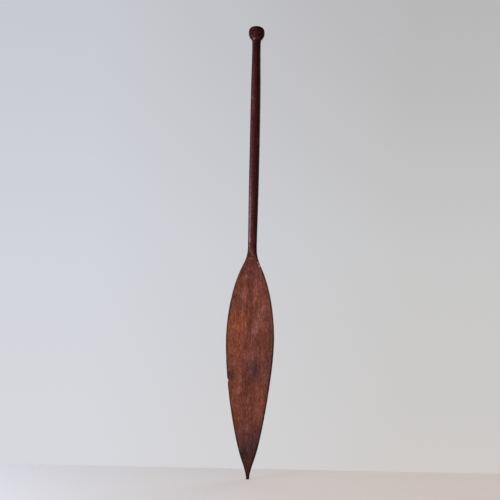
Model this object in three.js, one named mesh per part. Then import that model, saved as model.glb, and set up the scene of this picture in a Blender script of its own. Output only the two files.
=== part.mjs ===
// A canoe paddle carved from one plank of dark hardwood: a knob, a slim round shaft,
// a throat that flattens into shoulders, and a long leaf-shaped blade with a blunt tip.
// Millimetres. +Z runs up the shaft from the tip, the blade's faces look along -Y and +Y.
// The one carving is divided, on level cuts, into the lengths that a carver works in turn.
import * as THREE from "three";

// Lengths up the paddle
const TIP_LENGTH = 64;
const BLADE_LENGTH = 617;
const THROAT_LENGTH = 90;
const SHAFT_LENGTH = 652;
const POMMEL_LENGTH = 77;

// Blade, seen from the front
const TIP_END_WIDTH = 10.4;
const TIP_TOP_WIDTH = 43;
const BLADE_WIDTH = 159;
const BLADE_WIDEST_ABOVE_TIP = 389; // from the tip's upper cut to the widest place
const SHOULDER_WIDTH = 73;
const TIP_FLARE = 0.346; // half width gained for each millimetre of height
const SHOULDER_FLARE = -0.44;

// Blade, seen from the side
const TIP_THICKNESS = 7;
const TIP_TOP_THICKNESS = 9.2;
const BLADE_THICKNESS = 13.2;
const SHOULDER_THICKNESS = 16;
const FACE_EDGE_THICKNESS = 6; // between the two faces, where they would meet the outline
const EDGE_DEPTH = 22; // front to back size of the ellipse that rounds the edges
const NOSE_ROUND = 2.6; // rounding of the tip's end

// Throat
const WAIST_ABOVE_SHOULDER = 77; // where the shaft is slimmest above the blade
const RAMP_LENGTH = 34; // the flat slope cut from the round shaft down to the blade's face
const RAMP_FOOT_THICKNESS = 18.6;

// Shaft
const WAIST_DIAMETER = 30;
const BELLY_DIAMETER = 34;
const BELLY_ABOVE_THROAT = 380;
const UPPER_DIAMETER = 29.4;

// Knob
const KNOB_NECK_HEIGHT = 30;
const KNOB_NECK_DIAMETER = 32.2;
const KNOB_DIAMETER = 54;
const KNOB_WIDEST_ABOVE_NECK = 27;
const KNOB_TOP_FLAT = 14;
const CROWN_SQUARENESS = 2.2; // 2 is a ball, more is a flatter crown with fuller shoulders

// How far the wood's centre line wanders to the left (-) or right (+) of straight
const LOWER_BLADE_DRIFT = -2.4;
const WIDEST_DRIFT = -1;
const SHOULDER_DRIFT = -0.9;
const WAIST_DRIFT = 0.5;
const BELLY_DRIFT = 1.8;
const SHAFT_TOP_DRIFT = 1;
const KNOB_DRIFT = 0.8;
const CROWN_DRIFT = 0.2;

// Points round each cross-section, and rings along each length
const POINTS_ROUND = 40;
const NOSE_STEPS = 4;
const TIP_STEPS = 7;
const BLADE_STEPS = 28;
const SHOULDER_STEPS = 10;
const RAMP_STEPS = 8;
const COLLAR_STEPS = 2;
const SHAFT_STEPS = 24;
const NECK_STEPS = 4;
const KNOB_STEPS = 8;
const CROWN_STEPS = 8;

// Heights of the cuts and of the places named above
const bladeBottom = TIP_LENGTH;
const bladeWidest = bladeBottom + BLADE_WIDEST_ABOVE_TIP;
const shoulder = bladeBottom + BLADE_LENGTH;
const waist = shoulder + WAIST_ABOVE_SHOULDER;
const rampFoot = waist - RAMP_LENGTH;
const shaftBottom = shoulder + THROAT_LENGTH;
const belly = shaftBottom + BELLY_ABOVE_THROAT;
const shaftTop = shaftBottom + SHAFT_LENGTH;
const knobNeck = shaftTop + KNOB_NECK_HEIGHT;
const knobWidest = knobNeck + KNOB_WIDEST_ABOVE_NECK;
const crown = shaftTop + POMMEL_LENGTH;

function knot(height, size, lean, below, above) {
  return { height, size, lean, below, above };
}

// A size that changes up the paddle, as a fair curve through knots. A knot has its height,
// the size there, its lean (size gained per millimetre up) and how far the curve's handles
// reach below and above it. Returns the size at any height.
function fairCurve(knots) {
  const curves = knots.slice(1).map((upper, i) => {
    const lower = knots[i];
    return new THREE.CubicBezierCurve(
      new THREE.Vector2(lower.height, lower.size),
      new THREE.Vector2(lower.height + lower.above, lower.size + lower.lean * lower.above),
      new THREE.Vector2(upper.height - upper.below, upper.size - upper.lean * upper.below),
      new THREE.Vector2(upper.height, upper.size),
    );
  });
  return (height) => {
    const curve = curves.find((each) => height <= each.v3.x) ?? curves.at(-1);
    let low = 0;
    let high = 1;
    for (let halving = 0; halving < 40; halving++) {
      const middle = (low + high) / 2;
      if (curve.getPoint(middle).x < height) low = middle;
      else high = middle;
    }
    return curve.getPoint((low + high) / 2).y;
  };
}

// Half the width, from the tip to the knob's widest place
const lowerLimb = BLADE_WIDEST_ABOVE_TIP;
const upperLimb = shoulder - bladeWidest;
const halfWidth = fairCurve([
  knot(0, TIP_END_WIDTH / 2, 0, 0, 0.3 * TIP_LENGTH),
  knot(bladeBottom, TIP_TOP_WIDTH / 2, TIP_FLARE, 0.3 * TIP_LENGTH, 0.2 * lowerLimb),
  knot(bladeWidest, BLADE_WIDTH / 2, 0, 0.29 * lowerLimb, 0.075 * upperLimb),
  knot(shoulder, SHOULDER_WIDTH / 2, SHOULDER_FLARE, 0.41 * upperLimb, 0.38 * WAIST_ABOVE_SHOULDER),
  knot(waist, WAIST_DIAMETER / 2, 0, 0.46 * WAIST_ABOVE_SHOULDER, 0.15 * BELLY_ABOVE_THROAT),
  knot(belly, BELLY_DIAMETER / 2, 0, 0.75 * BELLY_ABOVE_THROAT, 0.65 * (shaftTop - belly)),
  knot(shaftTop, UPPER_DIAMETER / 2, 0, 0.2 * (shaftTop - belly), 0.5 * KNOB_NECK_HEIGHT),
  knot(knobNeck, KNOB_NECK_DIAMETER / 2, 0.15, 0.3 * KNOB_NECK_HEIGHT, 0.1 * KNOB_WIDEST_ABOVE_NECK),
  knot(knobWidest, KNOB_DIAMETER / 2, 0, 0.72 * KNOB_WIDEST_ABOVE_NECK, 0),
]);

// Half the thickness at the middle of the blade, up to the foot of the ramp
const bladeHalfThickness = fairCurve([
  knot(0, TIP_THICKNESS / 2, 0, 0, 0.3 * TIP_LENGTH),
  knot(bladeBottom, TIP_TOP_THICKNESS / 2, 0.01, 0.3 * TIP_LENGTH, 0.2 * lowerLimb),
  knot(bladeWidest, BLADE_THICKNESS / 2, 0.002, 0.3 * lowerLimb, 0.3 * upperLimb),
  knot(shoulder, SHOULDER_THICKNESS / 2, 0.02, 0.3 * upperLimb, 0.2 * WAIST_ABOVE_SHOULDER),
  knot(rampFoot, RAMP_FOOT_THICKNESS / 2, 0.04, 0.2 * WAIST_ABOVE_SHOULDER, 0),
]);

// Half the thickness between the faces at the outline, and of the ellipse that rounds the
// edges. Both swell through the shoulders until they are the shaft's own size.
const faceHalfEdge = fairCurve([
  knot(0, FACE_EDGE_THICKNESS / 2, 0, 0, 0.3 * TIP_LENGTH),
  knot(bladeWidest, FACE_EDGE_THICKNESS / 2, 0, 0.3 * lowerLimb, 0.4 * upperLimb),
  knot(rampFoot, RAMP_FOOT_THICKNESS / 2, 0.06, 0.9 * WAIST_ABOVE_SHOULDER, 0),
]);
const edgeHalfDepth = fairCurve([
  knot(0, TIP_THICKNESS / 2, 0, 0, 0.3 * TIP_LENGTH),
  knot(bladeWidest, EDGE_DEPTH / 2, 0, 0.6 * lowerLimb, 0.4 * upperLimb),
  knot(waist, WAIST_DIAMETER / 2, 0, 0.7 * WAIST_ABOVE_SHOULDER, 0),
]);

// The centre line's sideways wander
const centreLine = fairCurve([
  knot(0, 0, -0.006, 0, 0.5 * TIP_LENGTH),
  knot(bladeBottom + lowerLimb / 2, LOWER_BLADE_DRIFT, 0, 0.2 * lowerLimb, 0.2 * lowerLimb),
  knot(bladeWidest, WIDEST_DRIFT, 0, 0.2 * lowerLimb, 0.3 * upperLimb),
  knot(shoulder, SHOULDER_DRIFT, 0, 0.2 * upperLimb, 0.2 * WAIST_ABOVE_SHOULDER),
  knot(waist, WAIST_DRIFT, 0, 0.3 * WAIST_ABOVE_SHOULDER, 0.2 * BELLY_ABOVE_THROAT),
  knot(belly, BELLY_DRIFT, 0, 0.3 * BELLY_ABOVE_THROAT, 0.6 * (shaftTop - belly)),
  knot(shaftTop, SHAFT_TOP_DRIFT, 0, 0.2 * (shaftTop - belly), 0.3 * KNOB_NECK_HEIGHT),
  knot(knobWidest, KNOB_DRIFT, 0, KNOB_WIDEST_ABOVE_NECK, 0.3 * (crown - knobWidest)),
  knot(crown, CROWN_DRIFT, 0, 0.3 * (crown - knobWidest), 0),
]);

// The rounding at the tip's end takes this much off every side
function noseInset(height) {
  if (height >= NOSE_ROUND) return 0;
  return NOSE_ROUND - Math.sqrt(NOSE_ROUND ** 2 - (NOSE_ROUND - height) ** 2);
}

// The knob's crown draws in from its widest place to the small flat on top
function crownRadius(height) {
  const climb = (height - knobWidest) / (crown - knobWidest);
  const fullness = Math.max(0, 1 - climb ** CROWN_SQUARENESS) ** (1 / CROWN_SQUARENESS);
  return KNOB_TOP_FLAT / 2 + ((KNOB_DIAMETER - KNOB_TOP_FLAT) / 2) * fullness;
}

// Half the depth of wood at a share of the way from the centre line out to the outline.
// The stock is an ellipse in section. From the waist down two faces are cut into it: first
// the ramps that run straight down from the shaft, then the blade's gently crowned faces.
function halfDepth(height, half, share) {
  const roundness = Math.sqrt(1 - share ** 2);
  if (height >= waist) return half * roundness;
  const inset = noseInset(height);
  const stock = (edgeHalfDepth(height) - inset) * roundness;
  if (height >= rampFoot) {
    const climb = (height - rampFoot) / RAMP_LENGTH;
    const ramp = RAMP_FOOT_THICKNESS + (WAIST_DIAMETER - RAMP_FOOT_THICKNESS) * climb;
    return Math.min(stock, ramp / 2);
  }
  const atOutline = faceHalfEdge(height);
  const crowned = atOutline + (bladeHalfThickness(height) - atOutline) * roundness ** 2;
  return Math.min(stock, crowned - inset);
}

// One ring of points round the paddle. The cosine sets them closest along the two edges.
function ringAt(height) {
  const half = height > knobWidest ? crownRadius(height) : halfWidth(height) - noseInset(height);
  const middle = centreLine(height);
  return Array.from({ length: POINTS_ROUND }, (_, i) => {
    const turn = (2 * Math.PI * i) / POINTS_ROUND;
    const share = Math.cos(turn);
    const atEdge = i % (POINTS_ROUND / 2) === 0;
    const side = atEdge ? 0 : Math.sign(Math.sin(turn));
    return [middle + half * share, side * halfDepth(height, half, share), height];
  });
}

// A solid skinned over rings at the given heights, closed by a flat face at each end
function loft(heights) {
  const positions = heights.map(ringAt).flat(2);
  const triangles = [];
  for (let ring = 0; ring + 1 < heights.length; ring++) {
    for (let i = 0; i < POINTS_ROUND; i++) {
      const here = ring * POINTS_ROUND + i;
      const next = ring * POINTS_ROUND + ((i + 1) % POINTS_ROUND);
      triangles.push(here, next, next + POINTS_ROUND);
      triangles.push(here, next + POINTS_ROUND, here + POINTS_ROUND);
    }
  }
  const last = (heights.length - 1) * POINTS_ROUND;
  for (let i = 1; i + 1 < POINTS_ROUND; i++) {
    triangles.push(0, i + 1, i);
    triangles.push(last, last + i, last + i + 1);
  }
  const geometry = new THREE.BufferGeometry();
  geometry.setAttribute("position", new THREE.Float32BufferAttribute(positions, 3));
  geometry.setIndex(triangles);
  geometry.computeVertexNormals();
  return geometry;
}

// Ring heights, the first one left out: evenly spaced, or closing up towards the far end
function even(from, to, steps) {
  return Array.from({ length: steps }, (_, i) => from + ((to - from) * (i + 1)) / steps);
}

function closingUp(from, to, steps, squareness) {
  return even(0, Math.PI / 2, steps).map(
    (angle) => from + (to - from) * Math.sin(angle) ** (2 / squareness),
  );
}

// Wood as it shows on each length: dark and handled above, dry and worn below
function wood(color, roughness) {
  return new THREE.MeshStandardMaterial({ color, roughness, metalness: 0 });
}

const paddle = new THREE.Group();

function addLength(name, heights, material) {
  const mesh = new THREE.Mesh(loft(heights), material);
  mesh.name = name;
  paddle.add(mesh);
}

const roundNose = closingUp(NOSE_ROUND, 0, NOSE_STEPS, 2).reverse();
const tipRise = [NOSE_ROUND, ...even(NOSE_ROUND, bladeBottom, TIP_STEPS)];
addLength("blade_tip", [...roundNose, ...tipRise], wood(0x3a2a24, 0.62));

const bladeRise = [bladeBottom, ...even(bladeBottom, shoulder, BLADE_STEPS)];
addLength("blade", bladeRise, wood(0x73432f, 0.58));

const throatRise = [
  shoulder,
  ...even(shoulder, rampFoot, SHOULDER_STEPS),
  ...even(rampFoot, waist, RAMP_STEPS),
  ...even(waist, shaftBottom, COLLAR_STEPS),
];
addLength("throat", throatRise, wood(0x6a3826, 0.5));

const shaftRise = [shaftBottom, ...even(shaftBottom, shaftTop, SHAFT_STEPS)];
addLength("shaft", shaftRise, wood(0x4d2a25, 0.32));

const pommelRise = [
  shaftTop,
  ...even(shaftTop, knobNeck, NECK_STEPS),
  ...even(knobNeck, knobWidest, KNOB_STEPS),
  ...closingUp(knobWidest, crown, CROWN_STEPS, CROWN_SQUARENESS),
];
addLength("pommel", pommelRise, wood(0x3f1f1a, 0.4));

export default paddle;
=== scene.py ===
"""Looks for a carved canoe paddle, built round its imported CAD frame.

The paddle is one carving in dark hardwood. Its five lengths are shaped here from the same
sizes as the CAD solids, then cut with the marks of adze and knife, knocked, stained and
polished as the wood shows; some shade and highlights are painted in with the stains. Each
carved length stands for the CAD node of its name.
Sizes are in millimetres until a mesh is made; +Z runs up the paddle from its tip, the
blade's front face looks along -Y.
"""
import logging
import math
from collections.abc import Iterable, Sequence
from dataclasses import dataclass
from enum import Enum

import bmesh
import bpy
import numpy as np
from mathutils import Euler, Matrix, Vector, noise


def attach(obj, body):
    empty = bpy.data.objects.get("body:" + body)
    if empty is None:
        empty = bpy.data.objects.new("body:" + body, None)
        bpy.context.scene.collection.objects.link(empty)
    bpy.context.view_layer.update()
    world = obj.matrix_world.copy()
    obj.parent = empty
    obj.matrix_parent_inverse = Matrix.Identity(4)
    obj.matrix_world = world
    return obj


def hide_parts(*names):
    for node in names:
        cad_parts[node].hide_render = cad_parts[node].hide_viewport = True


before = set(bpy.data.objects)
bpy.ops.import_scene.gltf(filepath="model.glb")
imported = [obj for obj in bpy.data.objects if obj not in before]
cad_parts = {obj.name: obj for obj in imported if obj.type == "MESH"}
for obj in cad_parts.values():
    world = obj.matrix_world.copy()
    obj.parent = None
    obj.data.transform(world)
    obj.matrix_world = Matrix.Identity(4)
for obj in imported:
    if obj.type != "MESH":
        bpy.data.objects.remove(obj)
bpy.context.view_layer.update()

log = logging.getLogger("paddle")

Socket = bpy.types.NodeSocket
Triple = tuple[float, float, float]
Colour = tuple[float, float, float, float]

MM = 0.001
PHOTO_PIXELS = 500
ROUND = 192  # points round every cross-section
SEAM_STEP = 0.8  # from a level cut to the nearest ring on either side of it
CURVE_SAMPLES = 400
NOSE_RINGS = 11  # over the rounding of the blunt tip
TIP_SHRINKS = (0.08, 0.4, 0.7, 0.92)  # of the rings across the tip's end
CROWN_RINGS = 34  # from the knob's widest place up to its flat top
CROWN_SHRINKS = (0.9, 0.78, 0.64, 0.5, 0.36, 0.22, 0.1, 0.03)  # of the rings across the flat
ARRIS_FADE = 8.0  # below the waist, over which the arris becomes fully rubbed
TIP_FADE = 20.0  # above the ground, likewise
ROW_STEP, CUT_STEP = 0.5, 0.62  # from cut to cut, in lengths and in widths of a cut
FACING = 0.35  # least cosine between the directions of a cut and of the wood that it takes
THIN = 3.0  # half width under which the wood is cut less deep
LEAST_HALF = 0.5  # half width that keeps a share of the way out from being divided by nought
RAGGED = 18.0  # how far a stain's ragged edge can stray
SHOULDER_TO_SHAFT = (728.0, 772.0)  # heights over which the wood goes from dry to handled
SHAFT_TO_KNOB = (1455.0, 1470.0)
PORE_DIRT, RIM_DIRT = "#1c0f0c", "#1d100e"


# Named options


class Side(Enum):
    """Which face of the paddle something is on."""

    FRONT = -1
    BACK = 1


class Edge(Enum):
    """Which long edge of the blade, seen from the front."""

    LEFT = -1
    RIGHT = 1


class End(Enum):
    """How a length of the carving ends."""

    LEVEL_CUT = "level cut"
    ROUNDED = "rounded end"


class Tone(Enum):
    """Tones that oil, hands, salt water and sun gave the one wood, some of them also used for
    painted shade and highlights.
    """

    TAWNY = "#986133"
    GOLD = "#80441e"
    ORANGE = "#864527"
    SALMON = "#8c4b3b"
    PINK = "#864b42"
    LILAC = "#86534c"
    ROSY = "#93594a"
    TAN = "#764534"
    RUSSET = "#6c3323"
    OXBLOOD = "#5c1a12"
    OLIVE = "#63391a"
    GINGER = "#683316"
    RUST = "#4e1e06"
    BROWN = "#542717"
    PURPLE = "#582b2a"
    SLATE = "#462d2d"
    UMBER = "#3d1f17"
    BLACK = "#241716"
    GARNET = "#270a05"
    # Pale bare wood at chips, and the colour of painted highlights and glints
    BARE_AND_HIGHLIGHT = "#b79a8c"


# The bare form


@dataclass(frozen=True)
class Knot:
    """A place that a fair curve passes through.

    Args:
        height: How far up the paddle.
        size: The size there.
        lean: Size gained for each millimetre up.
        below: How far the curve's handle reaches below the knot.
        above: How far it reaches above.
    """

    height: float
    size: float
    lean: float
    below: float
    above: float


class FairCurve:
    """A size that changes smoothly up the paddle, through its knots."""

    def __init__(self, *knots: Knot) -> None:
        """Samples the curve between each two knots.

        Args:
            knots: The knots, lowest first.
        """
        share = np.linspace(0.0, 1.0, CURVE_SAMPLES)
        rest = 1.0 - share
        blends = (rest**3, 3 * rest**2 * share, 3 * rest * share**2, share**3)
        heights: list[np.ndarray] = []
        sizes: list[np.ndarray] = []
        for low, high in zip(knots, knots[1:]):
            leave = low.size + low.lean * low.above
            arrive = high.size - high.lean * high.below
            stops = (low.height, low.height + low.above, high.height - high.below, high.height)
            rises = (low.size, leave, arrive, high.size)
            heights.append(sum(b * s for b, s in zip(blends, stops)))
            sizes.append(sum(b * s for b, s in zip(blends, rises)))
        self.heights = np.concatenate(heights)
        self.sizes = np.concatenate(sizes)

    def at(self, heights: np.ndarray) -> np.ndarray:
        """The size at each height."""
        return np.interp(heights, self.heights, self.sizes)


def soft_least(a: np.ndarray, b: np.ndarray, rub: np.ndarray) -> np.ndarray:
    """The smaller of two sizes, with the arris between them rubbed over a width."""
    near = np.clip(1.0 - np.abs(a - b) / np.maximum(rub, 1e-6), 0.0, 1.0)
    return np.minimum(a, b) - 0.25 * rub * near**2


def unit(vectors: np.ndarray) -> np.ndarray:
    """The vectors, each at length one."""
    return vectors / np.maximum(np.linalg.norm(vectors, axis=-1, keepdims=True), 1e-12)


def full_rings(*heights: Sequence[float]) -> np.ndarray:
    """Rings at full size: a row for each, of its height and its shrink factor."""
    joined = np.concatenate(heights)
    return np.column_stack((joined, np.ones_like(joined)))


def closing_rings(height: float, shrinks: Sequence[float]) -> np.ndarray:
    """Rings at one height that close an end, as rows like those of full_rings."""
    return np.column_stack((np.full(len(shrinks), height), shrinks))


@dataclass(frozen=True)
class ToolMarks:
    """Overlapping shallow cuts that one tool left over a stretch of the wood.

    Args:
        width: Across a cut.
        length: Along it.
        depth: At its middle.
        vary: Share by which each of these differs from cut to cut.
        lean: How many degrees a cut turns from the grain.
        seed: Start of the random draws.
    """

    width: float
    length: float
    depth: float
    vary: float
    lean: float
    seed: int


@dataclass(frozen=True)
class Cut:
    """One shallow cut: its middle, its directions, its half sizes and its depth."""

    middle: np.ndarray
    normal: np.ndarray
    along: np.ndarray
    half_width: float
    half_length: float
    depth: float

    @property
    def reach(self) -> float:
        """How far the cut can reach from its middle."""
        return max(self.half_length, self.half_width)

    def depth_at(self, points: np.ndarray, normals: np.ndarray) -> np.ndarray:
        """How deep this cut is at each point.

        Args:
            points: Points of the bare form.
            normals: The form's outward directions there.

        Returns:
            Depths, nought outside the cut.
        """
        away = points - self.middle
        across = np.cross(self.normal, self.along)
        u = away @ self.along / self.half_length
        v = away @ across / self.half_width
        faces = normals @ self.normal > FACING
        return np.where(faces, self.depth * np.maximum(0.0, 1.0 - u**2 - v**2), 0.0)


@dataclass(frozen=True)
class Nick:
    """A knock in a long edge of the blade: its height, length and depth."""

    edge: Edge
    height: float
    length: float
    depth: float

    @property
    def reach(self) -> float:
        """How far in from the edge the wood gave way."""
        return 2.2 * self.depth + 3.0


@dataclass(frozen=True)
class Groove:
    """A faint ring round the shaft: its height, width and depth."""

    height: float
    width: float
    depth: float


@dataclass(frozen=True)
class Gouge:
    """A shallow hollow at one place on a face."""

    x: float
    height: float
    half_width: float
    half_length: float
    depth: float
    lean: float = 0.0
    side: Side = Side.FRONT


@dataclass(frozen=True)
class Swell:
    """Slow unevenness of hand work and dry wood: its sizes, its depth and a shift."""

    across: float
    along: float
    depth: float
    shift: float = 0.0

    def depth_at(self, points: np.ndarray) -> np.ndarray:
        """Depth lost at each point, about the swell's own depth on average."""
        scaled = points / (self.across, self.across, self.along) + (self.shift, 0.0, 0.0)
        return self.depth * (np.array([noise.noise(Vector(p)) for p in scaled]) + 1.0)


SWELLS = (Swell(60, 110, 0.09), Swell(17, 38, 0.04, shift=9))
LEAST_SWELL = 0.02  # so that the whole carving stays inside the CAD's skin


@dataclass
class Length:
    """One length of the carving, shaped and dressed as one piece.

    Args:
        name: Piece name.
        node: The CAD node that it stands for.
        slot: The material slot of the record; not used.
        surface: Name of its material, for how its surface was made.
        low: Height of its lower end.
        high: Height of its upper end.
        pitch: Distance between rings.
        tool: What the carver's tool left all over it.
        lower_end: How it ends below.
        upper_end: How it ends above.
        nicks: Knocks in its long edges.
        grooves: Rings round it.
        gouges: Hollows in its faces.
    """

    name: str
    node: str
    slot: str
    surface: str
    low: float
    high: float
    pitch: float
    tool: ToolMarks
    lower_end: End = End.LEVEL_CUT
    upper_end: End = End.LEVEL_CUT
    nicks: tuple[Nick, ...] = ()
    grooves: tuple[Groove, ...] = ()
    gouges: tuple[Gouge, ...] = ()

    def inner_heights(self, low: float, high: float) -> np.ndarray:
        """Ring heights between two heights, both included, about a pitch apart."""
        steps = max(2, round((high - low) / self.pitch))
        return np.linspace(low, high, steps + 1)

    def levels(self) -> np.ndarray:
        """Height and shrink factor of each ring, from the bottom up."""
        inner = self.inner_heights(self.low + SEAM_STEP, self.high - SEAM_STEP)
        return full_rings([self.low], inner, [self.high])


@dataclass
class BladeTip(Length):
    """The narrow blunt tip below the blade."""

    end_width: float = 10.4
    top_width: float = 43.0
    flare: float = 0.346
    thickness: float = 7.0
    top_thickness: float = 9.2
    nose_round: float = 2.6

    def levels(self) -> np.ndarray:
        """Rings from the middle of the blunt end, round the nose and up to the cut.

        Returns:
            Height and shrink factor of each ring.
        """
        turn = np.linspace(0.0, math.pi / 2, NOSE_RINGS)
        nose = self.nose_round * (1.0 - np.cos(turn))
        rise = self.inner_heights(self.nose_round, self.high - SEAM_STEP)[1:]
        return np.vstack((closing_rings(0.0, TIP_SHRINKS), full_rings(nose, rise, [self.high])))


@dataclass
class Blade(Length):
    """The long leaf-shaped blade, its two faces gently crowned."""

    width: float = 159.0
    widest_above_tip: float = 389.0
    shoulder_width: float = 73.0
    shoulder_flare: float = -0.44
    thickness: float = 13.2
    shoulder_thickness: float = 16.0
    face_edge_thickness: float = 6.0
    edge_depth: float = 22.0
    arris_rub: float = 1.2
    lower_drift: float = -2.4
    widest_drift: float = -1.0
    shoulder_drift: float = -0.9


@dataclass
class Throat(Length):
    """Where the shaft is cut down by a short ramp and widens into the shoulders."""

    waist_above_shoulder: float = 77.0
    ramp_length: float = 34.0
    ramp_foot_thickness: float = 18.6
    waist_diameter: float = 30.0
    waist_drift: float = 0.5


@dataclass
class Shaft(Length):
    """The round shaft, a little fuller halfway up and bowed to one side."""

    belly_diameter: float = 34.0
    belly_above_throat: float = 380.0
    upper_diameter: float = 29.4
    belly_drift: float = 1.8
    top_drift: float = 1.0


@dataclass
class Pommel(Length):
    """The knob at the end of the grip, on its slim neck."""

    neck_height: float = 30.0
    neck_diameter: float = 32.2
    knob_diameter: float = 54.0
    widest_above_neck: float = 27.0
    top_flat: float = 14.0
    crown_squareness: float = 2.2
    drift: float = 0.8
    crown_drift: float = 0.2

    @property
    def widest(self) -> float:
        """Height of the knob's widest place."""
        return self.low + self.neck_height + self.widest_above_neck

    def levels(self) -> np.ndarray:
        """Rings up the neck and the knob, over the crown and in to its middle.

        Returns:
            Height and shrink factor of each ring.
        """
        below = self.inner_heights(self.low + SEAM_STEP, self.widest)
        turn = np.linspace(0.0, math.pi / 2, CROWN_RINGS)[1:]
        climb = np.sin(turn) ** (2 / self.crown_squareness)
        over = self.widest + (self.high - self.widest) * climb
        flat = closing_rings(self.high, CROWN_SHRINKS)
        return np.vstack((full_rings([self.low], below, over), flat))


class BareForm:
    """The paddle's shape before the tools: every section, from its lengths' sizes."""

    def __init__(
        self, tip: BladeTip, blade: Blade, throat: Throat, shaft: Shaft, pommel: Pommel
    ) -> None:
        """Draws the fair curves that run through all five lengths.

        Args:
            tip: The blade's tip.
            blade: The blade.
            throat: The throat.
            shaft: The shaft.
            pommel: The knob and its neck.
        """
        self.tip, self.blade, self.throat, self.pommel = tip, blade, throat, pommel
        bottom, shoulder, top = blade.low, blade.high, shaft.high
        widest = bottom + blade.widest_above_tip
        waist = shoulder + throat.waist_above_shoulder
        foot = waist - throat.ramp_length
        belly = shaft.low + shaft.belly_above_throat
        self.waist, self.ramp_foot = waist, foot
        near_tip = 0.3 * tip.high
        lower, upper, to_waist = widest - bottom, shoulder - widest, throat.waist_above_shoulder
        to_belly, to_top, neck = shaft.belly_above_throat, top - belly, pommel.neck_height
        to_knob, crown = pommel.widest_above_neck, pommel.high - pommel.widest
        flare, spread = tip.flare, blade.shoulder_flare
        self.half_width = FairCurve(
            Knot(0, tip.end_width / 2, 0, 0, near_tip),
            Knot(bottom, tip.top_width / 2, flare, near_tip, 0.2 * lower),
            Knot(widest, blade.width / 2, 0, 0.29 * lower, 0.075 * upper),
            Knot(shoulder, blade.shoulder_width / 2, spread, 0.41 * upper, 0.38 * to_waist),
            Knot(waist, throat.waist_diameter / 2, 0, 0.46 * to_waist, 0.15 * to_belly),
            Knot(belly, shaft.belly_diameter / 2, 0, 0.75 * to_belly, 0.65 * to_top),
            Knot(top, shaft.upper_diameter / 2, 0, 0.2 * to_top, 0.5 * neck),
            Knot(top + neck, pommel.neck_diameter / 2, 0.15, 0.3 * neck, 0.1 * to_knob),
            Knot(pommel.widest, pommel.knob_diameter / 2, 0, 0.72 * to_knob, 0),
        )
        self.half_thickness = FairCurve(
            Knot(0, tip.thickness / 2, 0, 0, near_tip),
            Knot(bottom, tip.top_thickness / 2, 0.01, near_tip, 0.2 * lower),
            Knot(widest, blade.thickness / 2, 0.002, 0.3 * lower, 0.3 * upper),
            Knot(shoulder, blade.shoulder_thickness / 2, 0.02, 0.3 * upper, 0.2 * to_waist),
            Knot(foot, throat.ramp_foot_thickness / 2, 0.04, 0.2 * to_waist, 0),
        )
        self.face_edge = FairCurve(
            Knot(0, blade.face_edge_thickness / 2, 0, 0, near_tip),
            Knot(widest, blade.face_edge_thickness / 2, 0, 0.3 * lower, 0.4 * upper),
            Knot(foot, throat.ramp_foot_thickness / 2, 0.06, 0.9 * to_waist, 0),
        )
        self.edge_half_depth = FairCurve(
            Knot(0, tip.thickness / 2, 0, 0, near_tip),
            Knot(widest, blade.edge_depth / 2, 0, 0.6 * lower, 0.4 * upper),
            Knot(waist, throat.waist_diameter / 2, 0, 0.7 * to_waist, 0),
        )
        self.centre = FairCurve(
            Knot(0, 0, -0.006, 0, 0.5 * tip.high),
            Knot(bottom + lower / 2, blade.lower_drift, 0, 0.2 * lower, 0.2 * lower),
            Knot(widest, blade.widest_drift, 0, 0.2 * lower, 0.3 * upper),
            Knot(shoulder, blade.shoulder_drift, 0, 0.2 * upper, 0.2 * to_waist),
            Knot(waist, throat.waist_drift, 0, 0.3 * to_waist, 0.2 * to_belly),
            Knot(belly, shaft.belly_drift, 0, 0.3 * to_belly, 0.6 * to_top),
            Knot(top, shaft.top_drift, 0, 0.2 * to_top, 0.3 * neck),
            Knot(pommel.widest, pommel.drift, 0, to_knob, 0.3 * crown),
            Knot(pommel.high, pommel.crown_drift, 0, 0.3 * crown, 0),
        )

    def nose_inset(self, heights: np.ndarray) -> np.ndarray:
        """What the rounding of the blunt end takes off every side.

        Args:
            heights: Heights up the paddle.

        Returns:
            The loss at each height.
        """
        size = self.tip.nose_round
        drop = np.clip(size - heights, 0.0, size)
        return size - np.sqrt(size**2 - drop**2)

    def half_width_at(self, heights: np.ndarray) -> np.ndarray:
        """Half the width of the section at each height, over the crown too.

        Args:
            heights: Heights up the paddle.

        Returns:
            The half widths.
        """
        knob = self.pommel
        climb = np.clip((heights - knob.widest) / (knob.high - knob.widest), 0.0, 1.0)
        power = knob.crown_squareness
        fullness = np.maximum(0.0, 1.0 - climb**power) ** (1 / power)
        flat = knob.top_flat / 2
        crown = flat + (knob.knob_diameter / 2 - flat) * fullness
        sides = self.half_width.at(heights) - self.nose_inset(heights)
        return np.where(heights > knob.widest, crown, sides)

    def half_depth_at(self, heights: np.ndarray, half: np.ndarray, share: np.ndarray) -> np.ndarray:
        """Half the depth of wood at a share of the way out to the outline.

        The stock is an ellipse in section. From the waist down two faces are cut into it:
        first the ramps below the round shaft, then the blade's gently crowned faces.

        Args:
            heights: Heights, as a column.
            half: Half widths there, as a column.
            share: Shares of the way out, as a row.

        Returns:
            Half depths, one row for each height.
        """
        throat = self.throat
        roundness = np.sqrt(np.maximum(0.0, 1.0 - share**2))
        inset = self.nose_inset(heights)
        stock = (self.edge_half_depth.at(heights) - inset) * roundness
        climb = (heights - self.ramp_foot) / throat.ramp_length
        foot = throat.ramp_foot_thickness
        ramp = (foot + (throat.waist_diameter - foot) * climb) / 2
        outer = self.face_edge.at(heights)
        crowned = outer + (self.half_thickness.at(heights) - outer) * roundness**2 - inset
        face = np.where(heights >= self.ramp_foot, ramp, crowned)
        rub = self.blade.arris_rub * np.clip((self.waist - heights) / ARRIS_FADE, 0.0, 1.0)
        rub = rub * np.clip(heights / TIP_FADE, 0.2, 1.0)
        cut = soft_least(stock, face, rub)
        return np.where(heights >= self.waist, half * roundness, np.maximum(cut, 0.0))

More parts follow.
